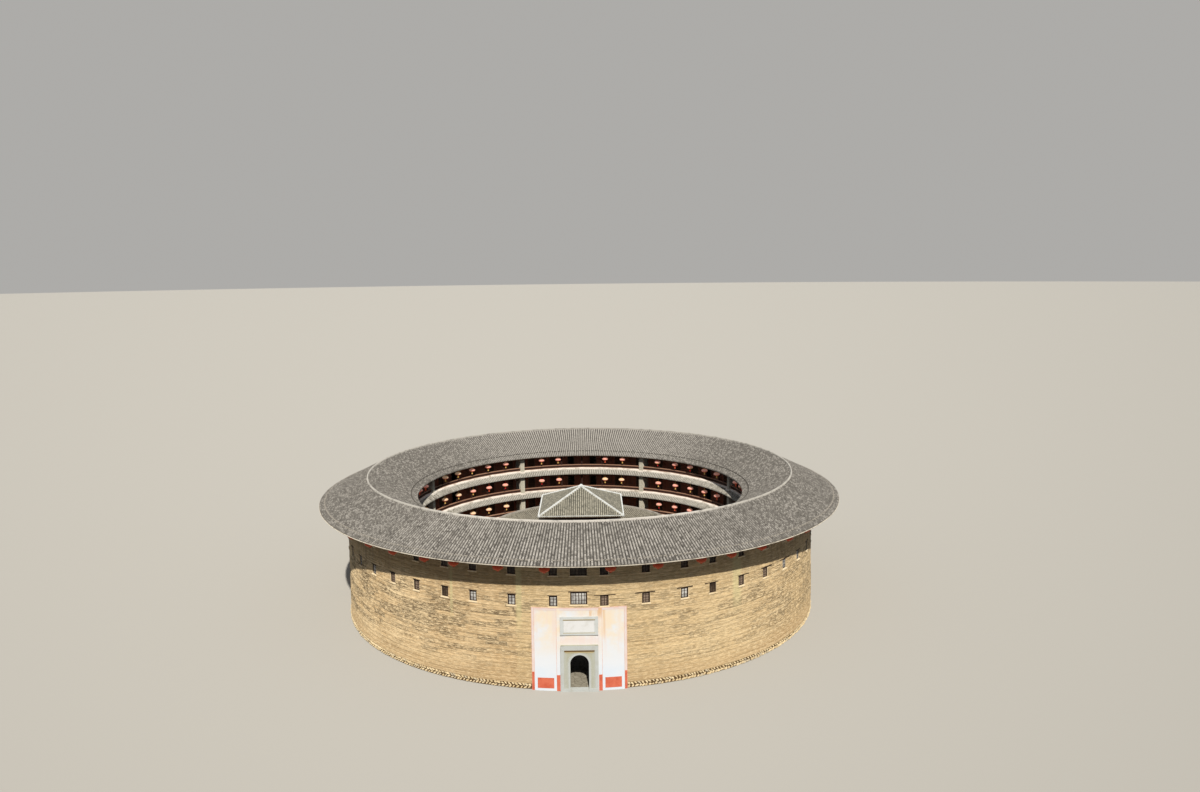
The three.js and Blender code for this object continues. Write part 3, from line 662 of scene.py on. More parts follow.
def buildWall(name, start, end, replaced):
    bm = bmesh.new()
    cellAngle, cellHeight = wall["cell"]
    span, rise = end - start, wall["top"] - wall["foot"]
    for vert in addGrid(bm, ceil(span / cellAngle), ceil(rise / cellHeight)):
        vert.co = (start + (vert.co.x + 0.5) * span, wall["foot"] + (vert.co.y + 0.5) * rise, 0)
    doorHalf = degrees(asin(wall["doorHalf"] / wall["footRadius"]))
    holes = [(-doorHalf, doorHalf, wall["foot"] - 1, wall["doorTop"])]
    for angle, sill, width, height in windowPlaces():
        half = degrees(asin(width / 2 / wallRadiusAt(sill)))
        holes.append((angle - half, angle + half, sill, sill + height))
    holes = [hole for hole in holes if start < (hole[0] + hole[1]) / 2 < end]
    for edge in {edge for hole in holes for edge in hole[:2]}:
        cutAt(bm, (edge, 0, 0), (1, 0, 0), tolerance=1e-5)
    for edge in {edge for hole in holes for edge in hole[2:] if edge > wall["foot"]}:
        cutAt(bm, (0, edge, 0), (0, 1, 0), tolerance=1e-5)
    middles = {face: face.calc_center_median() for face in bm.faces}
    cut = [face for face, middle in middles.items()
           if any(low < middle.x < high and sill < middle.y < head
                  for low, high, sill, head in holes)]
    bmesh.ops.delete(bm, geom=cut, context="FACES")
    bmesh.ops.remove_doubles(bm, verts=bm.verts[:], dist=1e-4)
    outer = set(bm.verts)
    bmesh.ops.solidify(bm, geom=bm.faces[:], thickness=0.1)
    for vert in bm.verts:
        angle, height = vert.co.x, vert.co.y
        if vert in outer:
            place = onRing(wallRadiusAt(height), angle, height)
            for amount, size in wall["roughness"]:
                place += onRing(1, angle, 0) * noise.noise(place / size) * amount
            vert.co = place
        else:
            vert.co = onRing(wall["innerRadius"], angle, height)
    bmesh.ops.recalc_face_normals(bm, faces=bm.faces[:])
    finishPiece(name, bm, [earthFinish], "rammed_earth", replaced, smoothUnder=50)


buildWall("earth_wall_front", -24.4, 24.4, (
    "wall_over_door", "wall_front_left", "wall_front_right",
    "upper_wall_front", "upper_wall_front_left", "upper_wall_front_right"))
buildWall("earth_wall_right", 24.4, 180, (
    "wall_right", "upper_wall_right", "upper_wall_back_right", "upper_wall_back"))
buildWall("earth_wall_left", -180, -24.4, (
    "wall_left", "upper_wall_left", "upper_wall_back_left", "upper_wall_back"))
print("wall built")


# Footing of field stones, in two uneven rows, round a core

footing = {
    "height": 0.6,
    "length": 0.4,                 # of a stone
    "thickness": 0.17,
    "spacing": 0.36,
    "lean": 42.0,                  # each row leans the other way
    "kinds": 12,                   # tones of stone
    "renderHalfAngle": 9.6,        # the render hides the stones here
    "doorHalfAngle": 2.6,
    "coreSetBack": 0.12,
    "depth": (0.11, 0.19),
}


def buildFooting():
    draw = Random(11)
    bm = bmesh.new()
    half = footing["doorHalfAngle"]
    addRectangleRing(bm, wall["innerRadius"], wall["footRadius"] - footing["coreSetBack"],
                     0, footing["height"], steps=120, start=half, sweep=360 - 2 * half)
    shade = bm.faces.layers.float.new("stoneShade")
    # the core takes the darkest stone tone, a painted shade for the gaps between the stones
    for face in bm.faces:
        face[shade] = 0.05
    finishPiece("footing_core", bm, [stoneFinish], "rubble_stone", ("stone_footing",))

    stones = []
    for kind in range(footing["kinds"]):
        bm = bmesh.new()
        shade = bm.faces.layers.float.new("stoneShade")
        bmesh.ops.create_uvsphere(bm, u_segments=6, v_segments=5, radius=1)
        for face in bm.faces:
            face[shade] = 0.2 + 0.8 * kind / (footing["kinds"] - 1)
        stones.append(asTemplate(bm))

    bm = bmesh.new()
    bm.faces.layers.float.new("stoneShade")
    skip = footing["renderHalfAngle"]
    for row in (0, 1):
        angle = skip + draw.random() * 0.3
        while angle < 360 - skip:
            height = footing["height"] * (0.25 + 0.5 * row) + draw.uniform(-0.03, 0.05)
            place = facing(wall["footRadius"] - 0.1, angle, height)
            lean = radians(footing["lean"] + draw.uniform(-22, 22)) * (1 if row else -1)
            shape = Matrix.Diagonal((footing["length"] / 2 * draw.uniform(0.8, 1.2),
                                     draw.uniform(*footing["depth"]),
                                     footing["thickness"] / 2 * draw.uniform(0.75, 1.3), 1))
            stamp(bm, draw.choice(stones), place @ Matrix.Rotation(lean, 4, "Y") @ shape)
            angle += degrees(footing["spacing"] * draw.uniform(0.8, 1.2) / wall["footRadius"])
    roughen(bm.verts, 0.03, 0.23)
    for vert in bm.verts:
        vert.co.z = max(vert.co.z, 0.01)
    finishPiece("footing_stones", bm, [stoneFinish], "rubble_stone", ("stone_footing",),
                smoothUnder=60)


buildFooting()
print("footing built")


# Tiled slopes. One strip of rows is shaped from a grid, then repeated round the ring

tiles = {
    "profile": ((0.0, 0.0), (0.15, 1.0), (0.40, 1.0), (0.55, 0.0), (1.0, 0.0)),   # one row across
    "raised": 3,                   # how many of its faces belong to the covering tiles
    "lift": 0.085,
    "step": 0.022,                 # how far a course stands above the one below it
    "sink": 0.045,                 # the pans lie this far under the roof's nominal slope
    "skirt": 0.07,
}


def tileStrip(rows, courses, surface, seed):
    # surface(across, up, lift) places a point: across and up run from 0 to 1
    draw = Random(seed)
    bm = bmesh.new()
    shade, cover = (bm.faces.layers.float.new(name) for name in ("tileShade", "tileCover"))
    shade = bm.faces.layers.float["tileShade"]     # the second layer has moved the first
    profile = tiles["profile"]
    across, up = len(profile) - 1, 2 * courses
    for row in range(rows):
        drift = draw.uniform(-0.4, 0.4)
        made = addGrid(bm, across, up)
        tones = [[draw.random() for _ in range(courses + 1)] for _ in range(2)]
        tilts = [draw.uniform(0.6, 1.4) for _ in range(courses + 1)]
        for face in facesOf(made):
            middle = face.calc_center_median()
            column = min(across - 1, floor((middle.x + 0.5) * across))
            course = max(0, (floor((middle.y + 0.5) * up) - 1) // 2)
            raised = column < tiles["raised"]
            face[shade] = tones[raised][course]
            face[cover] = 1.0 if raised else 0.0
        for vert in made:
            place, height = profile[round((vert.co.x + 0.5) * across)]
            loop = round((vert.co.y + 0.5) * up)
            if loop == 0:
                position, rise = 0.0, -tiles["skirt"] - height * tiles["lift"]
            else:
                course, upper = divmod(loop - 1, 2)
                position = course + upper
                if 0 < position < courses:
                    position += drift
                rise = 0.0 if upper else tiles["step"] * tilts[course]
                position = min(1.0, max(0.0, position / courses))
            lift = height * tiles["lift"] - tiles["sink"] + rise
            vert.co = surface((row + place) / rows, position, lift)
    return bm


def ringTiles(low, high, rows, courses, seed, start=0.0, stretches=facetCount):
    # low and high are the (radius, height) of the eave and of the slope's upper edge
    def surface(across, up, lift):
        radius, height = (foot + (head - foot) * up for foot, head in zip(low, high))
        return onRing(radius, start + across * facetAngle, height + lift)

    bm = tileStrip(rows, courses, surface, seed)
    if high[0] > low[0]:                   # an inward slope, whose strip comes out face down
        bmesh.ops.reverse_faces(bm, faces=bm.faces[:])
    repeatAround(bm, stretches - 1)
    return bm


# Gabled ring roofs, described by the (radius, height) of their eaves and ridge

mainRoof = {
    "outerEave": (31.6, 13.62),
    "ridge": (26.0, 16.32),
    "innerEave": (20.15, 13.43),
    "thickness": 0.32,
    "eaveThickness": 0.18,
    "eaveRun": 0.4,
    "outerRows": 13,               # tile rows on each of the 48 stretches
    "innerRows": 10,
    "courses": 16,
    "ridgeGap": 0.05,              # the tiles end this far from the ridge
    # half width, and height over the ridge
    "cap": ((0.1, -0.2), (0.092, 0.02), (0.065, 0.12), (0, 0.14)),
    "eaveLine": (31.52, 31.64, 13.5, 13.57),       # a mortar edge: two radii and two heights
    "rafterSize": (0.09, 0.12),
    "outerRafters": (28.5, 31.2, 8),       # two radii, and how many on each stretch
    "innerRafters": (20.6, 23.2, 6),
    "outerWeights": (0.62, 8),     # bricks on the tiles: how far in, how many on each stretch
    "innerWeights": (0.8, 6),
    "weightSize": (0.6, 0.12, 0.1),        # share of their spacing, metres, metres
}
quarters = (("front", -45), ("right", 45), ("back", 135), ("left", 225))
ringSides = {"outer": 1, "inner": -1}  # a slope, and whether it falls outward


def slopeHeight(roof, side, radius):
    (eaveRadius, eaveHeight), (ridgeRadius, ridgeHeight) = roof[side + "Eave"], roof["ridge"]
    rise = (ridgeHeight - eaveHeight) * (radius - eaveRadius)
    return eaveHeight + rise / (ridgeRadius - eaveRadius)


def slopeTiles(roof, side, seed, *stretch):
    radius = roof["ridge"][0] + roof["ridgeGap"] * ringSides[side]
    return ringTiles(roof[side + "Eave"], (radius, slopeHeight(roof, side, radius)),
                     roof[side + "Rows"], roof["courses"], seed, *stretch)


def roofShell(roof, steps):                # the boarding, whose top lies just below the tiles
    below, inset, run = 0.1, 0.03, roof["eaveRun"]
    radius, height = roof["ridge"]
    upper, lower = [(radius, height - below)], [(radius, height - roof["thickness"])]
    for side, outward in ringSides.items():
        eave, eaveHeight = roof[side + "Eave"]
        inner = eave - outward * run
        ends = [(eave - outward * inset, eaveHeight - below),
                (eave - outward * inset, eaveHeight - roof["eaveThickness"])]
        under = (inner, slopeHeight(roof, side, inner) - roof["thickness"])
        if side == "outer":
            upper, lower = ends[:1] + upper, lower + [under, ends[1]]
        else:
            upper, lower = upper + ends, [under] + lower
    bm = bmesh.new()
    addRing(bm, upper + lower, steps=steps)
    return bm


def roofRafters(roof):                     # sloped sticks under the boarding
    bm = bmesh.new()
    width, depth = roof["rafterSize"]
    for side in ringSides:
        fromRadius, toRadius, perFacet = roof[side + "Rafters"]
        for index in range(perFacet):
            made = addBox(bm, (-width / 2, -toRadius, -depth), (width / 2, -fromRadius, 0))
            for vert in made:
                vert.co.z += slopeHeight(roof, side, -vert.co.y) - roof["thickness"]
            turn = turned(facetAngle * (index + 0.5) / perFacet)
            bmesh.ops.transform(bm, matrix=turn, verts=made)
    repeatAround(bm)
    return bm


def addCap(bm, roof, steps):
    radius, height = roof["ridge"]
    outline = [(radius + half, height + over) for half, over in roof["cap"]]
    outline += [(radius - half, height + over) for half, over in reversed(roof["cap"][:-1])]
    return addRing(bm, outline, steps=steps)


def buildMainRoof():
    for index, (place, start) in enumerate(quarters):
        for offset, side in enumerate(ringSides):
            bm = slopeTiles(mainRoof, side, 20 + index * 2 + offset, start, facetCount // 4)
            finishPiece(f"roof_tiles_{place}_{side}", bm, [tileFinish], "roof_tile",
                        (f"roof_{place}",), smoothUnder=40)
    finishPiece("roof_boarding", roofShell(mainRoof, 192), [eaveTimber], "dark_timber",
                smoothUnder=30)
    finishPiece("roof_rafters", roofRafters(mainRoof), [eaveTimber], "dark_timber")

    bm = bmesh.new()
    for vert in addCap(bm, mainRoof, 360):
        wobble = noise.noise(vert.co / 0.9) * 0.015
        vert.co += Vector((vert.co.x, vert.co.y, 0)).normalized() * wobble
        vert.co.z -= abs(noise.noise(vert.co / 0.5)) * 0.03
    addRectangleRing(bm, *mainRoof["eaveLine"], steps=360, finish=1)
    finishPiece("roof_ridge", bm, [mortarFinish, eaveMortar], "white_mortar", smoothUnder=60)

    bm = bmesh.new()
    share, depth, tall = mainRoof["weightSize"]
    for finish, (side, outward) in enumerate(ringSides.items()):
        inward, perFacet = mainRoof[side + "Weights"]
        radius = mainRoof[side + "Eave"][0] - outward * inward
        step = facetAngle / perFacet
        length = radius * radians(step) * share
        for index in range(perFacet):
            lay = facing(radius, step * (index + 0.5), slopeHeight(mainRoof, side, radius))
            turn = Matrix.Rotation(0.03 * (-1) ** index, 4, "Z")
            addBox(bm, (-length / 2, -depth / 2, 0), (length / 2, depth / 2, tall), lay @ turn,
                   finish)
    repeatAround(bm)
    finishPiece("eave_weight_bricks", bm, [earthyTile, shadowLineBrick], "roof_tile")


buildMainRoof()
print("main roof built")


# Windows: a plastered edge and sill, a timber lintel, frame and bars, and the panes

windowMake = {
    "depth": (0.1, 0.18),          # how far in the frame stands
    "frame": 0.15,
    "mullion": 0.07,
    "bar": 0.045,
    "lintelOver": {"right": (0.1, 0.7), "left": (-0.02, 0.12)},
    "lintelHeight": 0.045,
    "wideLintelOver": 0.16,
    "sillHeight": 0.1,
    "sillOver": 0.06,
    "shuttered": (5.0, 13.35, -35.8, -43.4, 35.8, 43.4, 93.3, -129.0, 167.8),   # by a brown lattice
    # painted shade: panes painted dark for these open windows onto dark rooms, and for every window
    # above the height below
    "shadowed": (28.2, -28.2),
    "shadowedAbove": 11,              # metres up; panes above it are painted dark as painted shade under the eave
}


def buildWindows():
    draw = Random(5)
    plaster, joinery = bmesh.new(), bmesh.new()
    make = windowMake
    edge, thick, (near, far) = make["frame"], make["bar"], make["depth"]
    for angle, sill, width, height in windowPlaces():
        wide = width > 1
        shuttered = any(abs(angle - other) < 1 for other in make["shuttered"])
        shadowed = sill > make["shadowedAbove"] or any(abs(angle - other) < 1 for other in make["shadowed"])
        spot = facing(wallRadiusAt(sill + height / 2) + 0.02, angle)
        half, head = width / 2, sill + height
        for left, right in ((-half - 0.02, 0.015 - half), (half - 0.015, half + 0.02)):
            addBox(plaster, (left, 0.04, sill), (right, 0.5, head), spot)
        over = half + make["sillOver"] * draw.uniform(0.5, 1.6)
        addBox(plaster, (-over, -0.06, sill - make["sillHeight"]), (over, 0.5, sill + 0.01), spot)
        over = make["lintelOver"]["right" if angle > 0 else "left"]
        left, right = (half + (make["wideLintelOver"] if wide else draw.uniform(*over))
                       for _ in range(2))
        addBox(joinery, (-left, -0.035, head), (right, 0.35, head + make["lintelHeight"]), spot)
        bars = [(-half, edge - half, sill, head, 0), (half - edge, half, sill, head, 0),
                (-half, half, sill, sill + edge * 0.6, 0), (-half, half, head - edge, head, 0)]
        columns, rows = (6, 3) if wide else (4, 4) if shuttered else (2, 3)
        for column in range(1, columns):
            x = -half + width * column / columns
            broad = make["mullion"] if column * 2 == columns or wide and column in (2, 4) else thick
            bars.append((x - broad / 2, x + broad / 2, sill, head, 0.01))
        for row in range(1, rows):
            z = sill + height * row / rows
            bars.append((-half, half, z - thick / 2, z + thick / 2, 0.02))
        for left, right, low, high, inset in bars:
            addBox(joinery, (left, near + inset, low), (right, far - inset, high), spot)
        # the shaded windows get the pane painted dark
        pane = 3 if shadowed else 2 if shuttered else 1
        addBox(joinery, (0.02 - half, near + 0.03, sill + 0.02),
               (half - 0.02, near + 0.045, head - 0.02), spot, pane)
    roughen(plaster.verts, 0.012, 0.4)
    finishPiece("window_plaster", plaster, [revealFinish], "whitewash")
    finishPiece("window_joinery", joinery, [frameTimber, skyReflectionGlass, shutterTimber, shadowedGlass],
                "dark_timber")


buildWindows()
print("windows built")


# Entrance: the arch in the wall, the granite portal, the render with its red dado, the board.
# Proud is how far something stands out in front, and the last number of a row is its finish.

portalHalf, portalTop, panelTop = 1.845, 4.7, 8.4
entrance = {
    "archRadius": 0.915,
    "archSteps": 48,
    "springing": 2.87,
    "portalFace": 28.86,
    "mouldings": ((0.0, 0.19, 0.035), (0.24, 0.04, 0.02)),     # out from the arch, width, proud
    # metres in from the portal's side, proud, top
    "strips": ((0.0, 0.34, 0.03, portalTop), (0.4, 0.45, 0.02, 4.1), (0.52, 0.56, 0.02, 4.1)),
    # half width, low, high, proud: a lintel, a ledge painted dark as a painted shadow line, and a
    # band below it
    "beams": ((portalHalf, 4.26, portalTop, 0.045, 1), (1.47, 4.16, 4.24, 0.11, 2),
              (1.4, 3.98, 4.16, 0.03, 3)),
    "plinthTop": 0.34,
    "sillTop": 0.215,
    "panelHalfAngle": 9.37,
    "panelThickness": 0.085,
    # near and far edge, low, high, proud: from the panel's outer edge, then from the portal
    "outerFields": ((-0.27, 0.0, 0.0, panelTop, 0.02, 2),
                    (-0.045, 0.005, 0.0, panelTop, 0.03, 3),
                    (-0.27, -0.23, 0.0, panelTop, 0.03, 3),
                    (-0.25, -0.01, 0.04, 1.9, 0.035, 1)),
    "innerFields": ((0.0, 0.36, 0.0, panelTop, 0.02, 0), (0.33, 0.37, 0.0, panelTop, 0.03, 3),
                    (0.01, 0.35, 0.0, 1.63, 0.035, 1), (0.62, 2.25, 0.26, 1.32, 0.02, 1)),
    "boardFace": 28.71,
    "boardHalf": 1.855,
    "board": (5.72, 7.56),
    "fieldHalf": 1.49,
    "field": (6.05, 7.21),
    "boardLines": ((5.92, 5.97, 3), (7.23, 7.315, 2)),
}


def archStrip(bm, radius, outer, near, far, finish=0):
    # round an arch and down its jambs, from y = near to y = far; outer(turn) is its outer reach
    steps, springing = entrance["archSteps"], entrance["springing"]
    made = addGrid(bm, steps + 2, 1)
    for vert in made:
        index = round((vert.co.x + 0.5) * (steps + 2))
        turn = pi * (1 - min(max(index - 1, 0), steps) / steps)
        reach = outer(turn) if vert.co.y < 0 else radius
        height = 0 if index in (0, steps + 2) else springing + reach * sin(turn)
        vert.co = (reach * cos(turn), near, height)
    faces = facesOf(made)
    paint(faces, finish)
    extruded = bmesh.ops.extrude_face_region(bm, geom=faces, use_keep_orig=True)["geom"]
    moved = [item for item in extruded if isinstance(item, bmesh.types.BMVert)]
    bmesh.ops.translate(bm, vec=(0, far - near, 0), verts=moved)
    bmesh.ops.recalc_face_normals(bm, faces=facesOf(made + moved))


def squareEdge(half, top):                 # the outer reach of a strip with a straight side and top
    rise = top - entrance["springing"]
    return lambda turn: min(half / max(abs(cos(turn)), 1e-6), rise / max(sin(turn), 1e-6))


def buildPortal():
    make, foot = entrance, wall["footRadius"]
    radius, half, face = make["archRadius"], portalHalf, -make["portalFace"]
    bm = bmesh.new()
    archStrip(bm, radius, squareEdge(wall["doorHalf"] + 0.03, wall["doorTop"] + 0.03),
              0.02 - foot, -wall["innerRadius"])
    finishPiece("doorway_lining", bm, [mossGranite], "granite", smoothUnder=40)

    bm = bmesh.new()
    archStrip(bm, radius, squareEdge(half, portalTop), face, 0.2 - foot)
    for out, width, proud in make["mouldings"]:
        outer = radius + out + width
        archStrip(bm, radius + out, lambda turn: outer, face - proud, face + 0.02, finish=1)
    for side in (-1, 1):
        for fromEdge, toEdge, proud, top in make["strips"]:
            left, right = sorted((side * (half - toEdge), side * (half - fromEdge)))
            addBox(bm, (left, face - proud, 0), (right, face + 0.02, top), finish=1)
        left, right = sorted((side * (radius + 0.02), side * half))
        addBox(bm, (left, face - 0.05, 0), (right, face + 0.1, make["plinthTop"]), finish=1)
    for reach, low, high, proud, finish in make["beams"]:
        addBox(bm, (-reach, face - proud, low), (reach, face + 0.02, high), finish=finish)
    addBox(bm, (-radius, face, 0), (radius, 0.3 - foot, make["sillTop"]), finish=1)
    finishPiece("portal_stone", bm, [mossGranite, graniteFinish, ledgeShadowFinish, strawFinish],
                "granite", ("granite_portal",), smoothUnder=40)


def buildRender():                         # bent to the wall, with painted fields a little proud
    make = entrance
    bm = bmesh.new()

    def field(left, right, low, high, proud=0.0, finish=0, steps=4):
        # left and right are metres along the wall from the middle of the doorway
        start, end = (degrees(edge / wall["footRadius"]) for edge in (left, right))
        base = make["panelThickness"] + proud
        addRing(bm, [(wallRadiusAt(low) - 0.04, low), (wallRadiusAt(low) + base, low),
                     (wallRadiusAt(high) + base, high), (wallRadiusAt(high) - 0.04, high)],
                steps=steps, finish=finish, start=start, sweep=end - start)

    top, half = panelTop, portalHalf
    edge = radians(make["panelHalfAngle"]) * wall["footRadius"]
    field(-edge, 0.02 - half, 0.0, top, steps=8)
    field(half - 0.02, edge, 0.0, top, steps=8)
    field(0.02 - half, half - 0.02, portalTop - 0.02, top, steps=10)
    for side in (-1, 1):
        for base, fields in ((edge, make["outerFields"]), (half + 0.03, make["innerFields"])):
            for near, far, *rest in fields:
                field(*sorted((side * (base + near), side * (base + far))), *rest)
    field(-edge, edge, top - 0.24, top + 0.01, 0.02, 2, 20)
    field(-edge, edge, top - 0.03, top + 0.012, 0.03, 3, 20)
    finishPiece("render_panel", bm, [washFinish, redFinish, pinkFinish, roseFinish], "whitewash",
                ("entrance_render",), smoothUnder=30)


def buildBoard():                          # a stone frame round a bare field, with two thin lines
    make = entrance
    bm = bmesh.new()
    (low, high), (fieldLow, fieldHigh) = make["board"], make["field"]
    face, half, fieldHalf = -make["boardFace"], make["boardHalf"], make["fieldHalf"]
    back = 0.3 - wallRadiusAt(low)
    for left, right, foot, head, sunk, finish in (
            (-half, half, low, fieldLow, 0, 0), (-half, half, fieldHigh, high, 0, 0),
            (-half, -fieldHalf, fieldLow, fieldHigh, 0, 0),
            (fieldHalf, half, fieldLow, fieldHigh, 0, 0),
            (-fieldHalf, fieldHalf, fieldLow, fieldHigh, 0.04, 1)):
        addBox(bm, (left, face + sunk, foot), (right, back, head), finish=finish)
    reach = fieldHalf + 0.08
    for foot, head, finish in make["boardLines"]:
        addBox(bm, (-reach, face - 0.015, foot), (reach, face + 0.02, head), finish=finish)
    bmesh.ops.bevel(bm, geom=bm.edges[:], offset=0.008, offset_type="OFFSET", affect="EDGES",
                    segments=1, profile=0.5, material=-1)
    finishPiece("name_board_bare", bm, [boardStone, bareBoard, giltFinish, strawFinish], "granite",
                ("name_board",))


buildPortal()
buildRender()
buildBoard()
print("entrance built")


# Gallery: rails and battens on the plain frames, and each storey's tiled waist eave

gallery = {
    "edgeRadius": 21.25,
    "depth": 0.18,
    "parapet": 0.97,
    "topRail": (0.05, 0.04, 0.08),         # over the inner edge, over the outer edge, height
    "lowRail": (0.03, 0.01, 0.6, 0.68),    # out, in, low, high
    "batten": (0.05, 0.03),
    "battensPerFacet": 9,
}
waist = {
    "top": (21.22, 0.53),
    "lip": (20.35, -0.1),
    "thickness": 0.16,
    "rows": 10,
    "courses": 4,
    "mortar": 0.19,                # how far in the mortar along the top edge reaches
    "collar": (0.37, 20.87, 21.27, 0.2, 0.5),      # round a pier: half width, radii, heights
}


def buildGallery():
    rails, battens = bmesh.new(), bmesh.new()
    inner = gallery["edgeRadius"]
    outer = inner + gallery["depth"]
    overIn, overOut, tall = gallery["topRail"]
    railOut, railIn, railLow, railHigh = gallery["lowRail"]
    count, (width, proud) = gallery["battensPerFacet"], gallery["batten"]
    middle = facetAngle / 2
    place = facing(facetRadius(inner, middle), middle)
    for level in floorTops[1:]:
        top = level + gallery["parapet"]
        addRectangleRing(rails, inner - overIn, outer + overOut, top, top + tall, steps=facetCount)
        addRectangleRing(rails, inner - railOut, inner + railIn, level + railLow, level + railHigh,
                         steps=facetCount)
        for index in range(count):
            angle = facetAngle * (index + 0.5) / count
            x = facetRadius(inner, angle) * sin(radians(angle - middle))
            addBox(battens, (x - width / 2, -0.01, level + railHigh),
                   (x + width / 2, proud, top), place)
    repeatAround(battens)
    finishPiece("gallery_rails", rails, [redTimber], "dark_timber")
    finishPiece("gallery_battens", battens, [parapetTimber], "dark_timber")


def buildWaistEaves():
    under, edging = bmesh.new(), bmesh.new()
    thickness, reach = waist["thickness"], waist["mortar"]
    for storey, level in enumerate(floorTops[1:], start=2):
        (topRadius, top), (lipRadius, lip) = waist["top"], waist["lip"]
        top, lip = top + level, lip + level
        bm = ringTiles((lipRadius, lip), (topRadius, top), waist["rows"], waist["courses"],
                       50 + storey)
        finishPiece(f"waist_tiles_{storey}f", bm, [waistTileFinish], "roof_tile",
                    (f"waist_eave_{storey}f",), smoothUnder=40)
        addRing(under, [(topRadius, top - 0.1), (lipRadius + 0.03, lip - 0.1),
                        (lipRadius + 0.03, lip - thickness), (topRadius, top - 1.3 * thickness)])
        fall = reach * (top - lip) / (topRadius - lipRadius)
        verts = addRing(edging, [(topRadius + 0.04, top - 0.05), (topRadius + 0.04, top + 0.12),
                                 (topRadius - reach, top + 0.12 - fall),
                                 (topRadius - reach - 0.03, top - fall - 0.08)], steps=240)
        roughen(verts, 0.02, 0.5)
        half, near, far, low, high = waist["collar"]
        for angle in mirrored(pierAngles):
            addBox(edging, (-half, -far, level + low), (half, -near, level + high), turned(angle))
    finishPiece("waist_boarding", under, [eaveTimber], "dark_timber", smoothUnder=30)
    finishPiece("waist_mortar", edging, [creamMortar], "white_mortar", smoothUnder=50)


buildGallery()
buildWaistEaves()
print("gallery built")


# Room fronts: closed doors and lattice windows in the bays without a doorway

rooms = {
    "radius": 23.3,
    "door": (0.9, 2.1),
    "doorShift": -0.55,
    "trim": 0.09,
    "window": (1.1, 1.0),
    "windowStart": 0.45,
    "windowSill": 1.0,
    "windowEdge": 0.06,
    "bars": 6,
    "barWidth": 0.024,
    "entranceHalfAngle": 4,        # the passage from the entrance takes this bay's place
}


def openDoors(storey):
    angles = mirrored(start + (end - start) / count * 2.5 for start, end, count in sectorBays[1:])
    return angles if storey == 0 else angles + [0.0]


def roomBay(closed):
    bm = bmesh.new()
    doorWidth, doorHeight = rooms["door"]
    trim, edge, thick = rooms["trim"], rooms["windowEdge"], rooms["barWidth"]
    shift = rooms["doorShift"] if closed else 0.0
    left, right = shift - doorWidth / 2, shift + doorWidth / 2
    top = doorHeight + trim
    for near, far, low in ((left - trim, left, 0), (right, right + trim, 0),
                           (left, right, doorHeight)):
        addBox(bm, (near, -0.06, low), (far, 0.05, top))
    if closed:
        addBox(bm, (left, -0.035, 0.02), (right, 0.03, doorHeight), finish=1)
        wide, tall = rooms["window"]
        sill, start = rooms["windowSill"], rooms["windowStart"]
        end, head = start + wide, sill + tall
        for near, far, low, high in (
                (start, start + edge, sill, head), (end - edge, end, sill, head),
                (start, end, sill, sill + edge), (start, end, head - edge, head)):
            addBox(bm, (near, -0.06, low), (far, 0.04, high))
        for bar in range(1, rooms["bars"]):
            middle = start + wide * bar / rooms["bars"]
            addBox(bm, (middle - thick / 2, -0.04, sill), (middle + thick / 2, 0.03, head))
    return asTemplate(bm)


def buildRoomFronts():
    openBay, closedBay = roomBay(False), roomBay(True)
    bm = bmesh.new()
    for storey, level in enumerate(floorTops):
        doorways = openDoors(storey)
        for angle in map(signed, bayAngles(0.5)):
            if storey == 0 and abs(angle) < rooms["entranceHalfAngle"]:
                continue
            nearest = min(abs(signed(angle - other)) for other in doorways)
            stamp(bm, openBay if nearest < 1 else closedBay,
                  facing(facetRadius(rooms["radius"], angle), angle, level))
    finishPiece("room_frames", bm, [redTimber, boardTimber], "dark_timber")


buildRoomFronts()
print("room fronts built")


# Court: the low ring's roof and the square hall's roof

lowRing = {
    "ridge": (11.8, 8.23),
    "outerEave": (14.7, 6.75),
    "innerEave": (8.9, 6.75),
    "thickness": 0.26,
    "eaveThickness": 0.16,
    "eaveRun": 0.35,
    "outerRows": 6,
    "innerRows": 5,
    "courses": 8,
    "ridgeGap": 0.12,
    "cap": ((0.18, -0.14), (0.15, 0.06), (0, 0.12)),
    "rafterSize": (0.08, 0.1),
    "outerRafters": (13.9, 14.4, 4),
    "innerRafters": (9.2, 11.0, 4),
}
hall = {
    "centre": (0.0, 6.5),
    "half": 4.7,
    "roofHalf": 5.525,
    "eave": 9.4,
    "apex": 12.05,
    "rows": 41,
    "courses": 18,
    "hip": (0.15, 0.2, 0.06),      # half width, height of its crown, thickness
    "rim": 0.16,
    "rimTops": (0.04, 0.14, 0.04, 0.14),   # front, right, back, left
    "finial": (0.42, 0.1, 0.26),   # lower radius, upper radius, height
}


def inHall(point, margin=0.0):
    return all(abs(point[axis] - hall["centre"][axis]) < hall["half"] + margin for axis in (0, 1))


def clearHall(bm):                         # cuts away what would stand inside the hall
    for axis, side in ((0, -1), (0, 1), (1, -1), (1, 1)):
        point, normal = Vector(), Vector()
        point[axis] = hall["centre"][axis] + side * hall["half"]
        normal[axis] = 1
        near = [face for face in bm.faces if inHall(face.calc_center_median(), 0.8)]
        parts = set(near)
        for face in near:
            parts.update(face.edges, face.verts)
        cutAt(bm, point, normal, list(parts))
    inside = [face for face in bm.faces if inHall(face.calc_center_median())]
    bmesh.ops.delete(bm, geom=inside, context="FACES")


def linked(face):                          # every vertex of the box that a face belongs to
    found = set(face.verts)
    waiting = list(found)
    while waiting:
        vert = waiting.pop()
        others = {edge.other_vert(vert) for edge in vert.link_edges} - found
        found |= others
        waiting += others
    return found


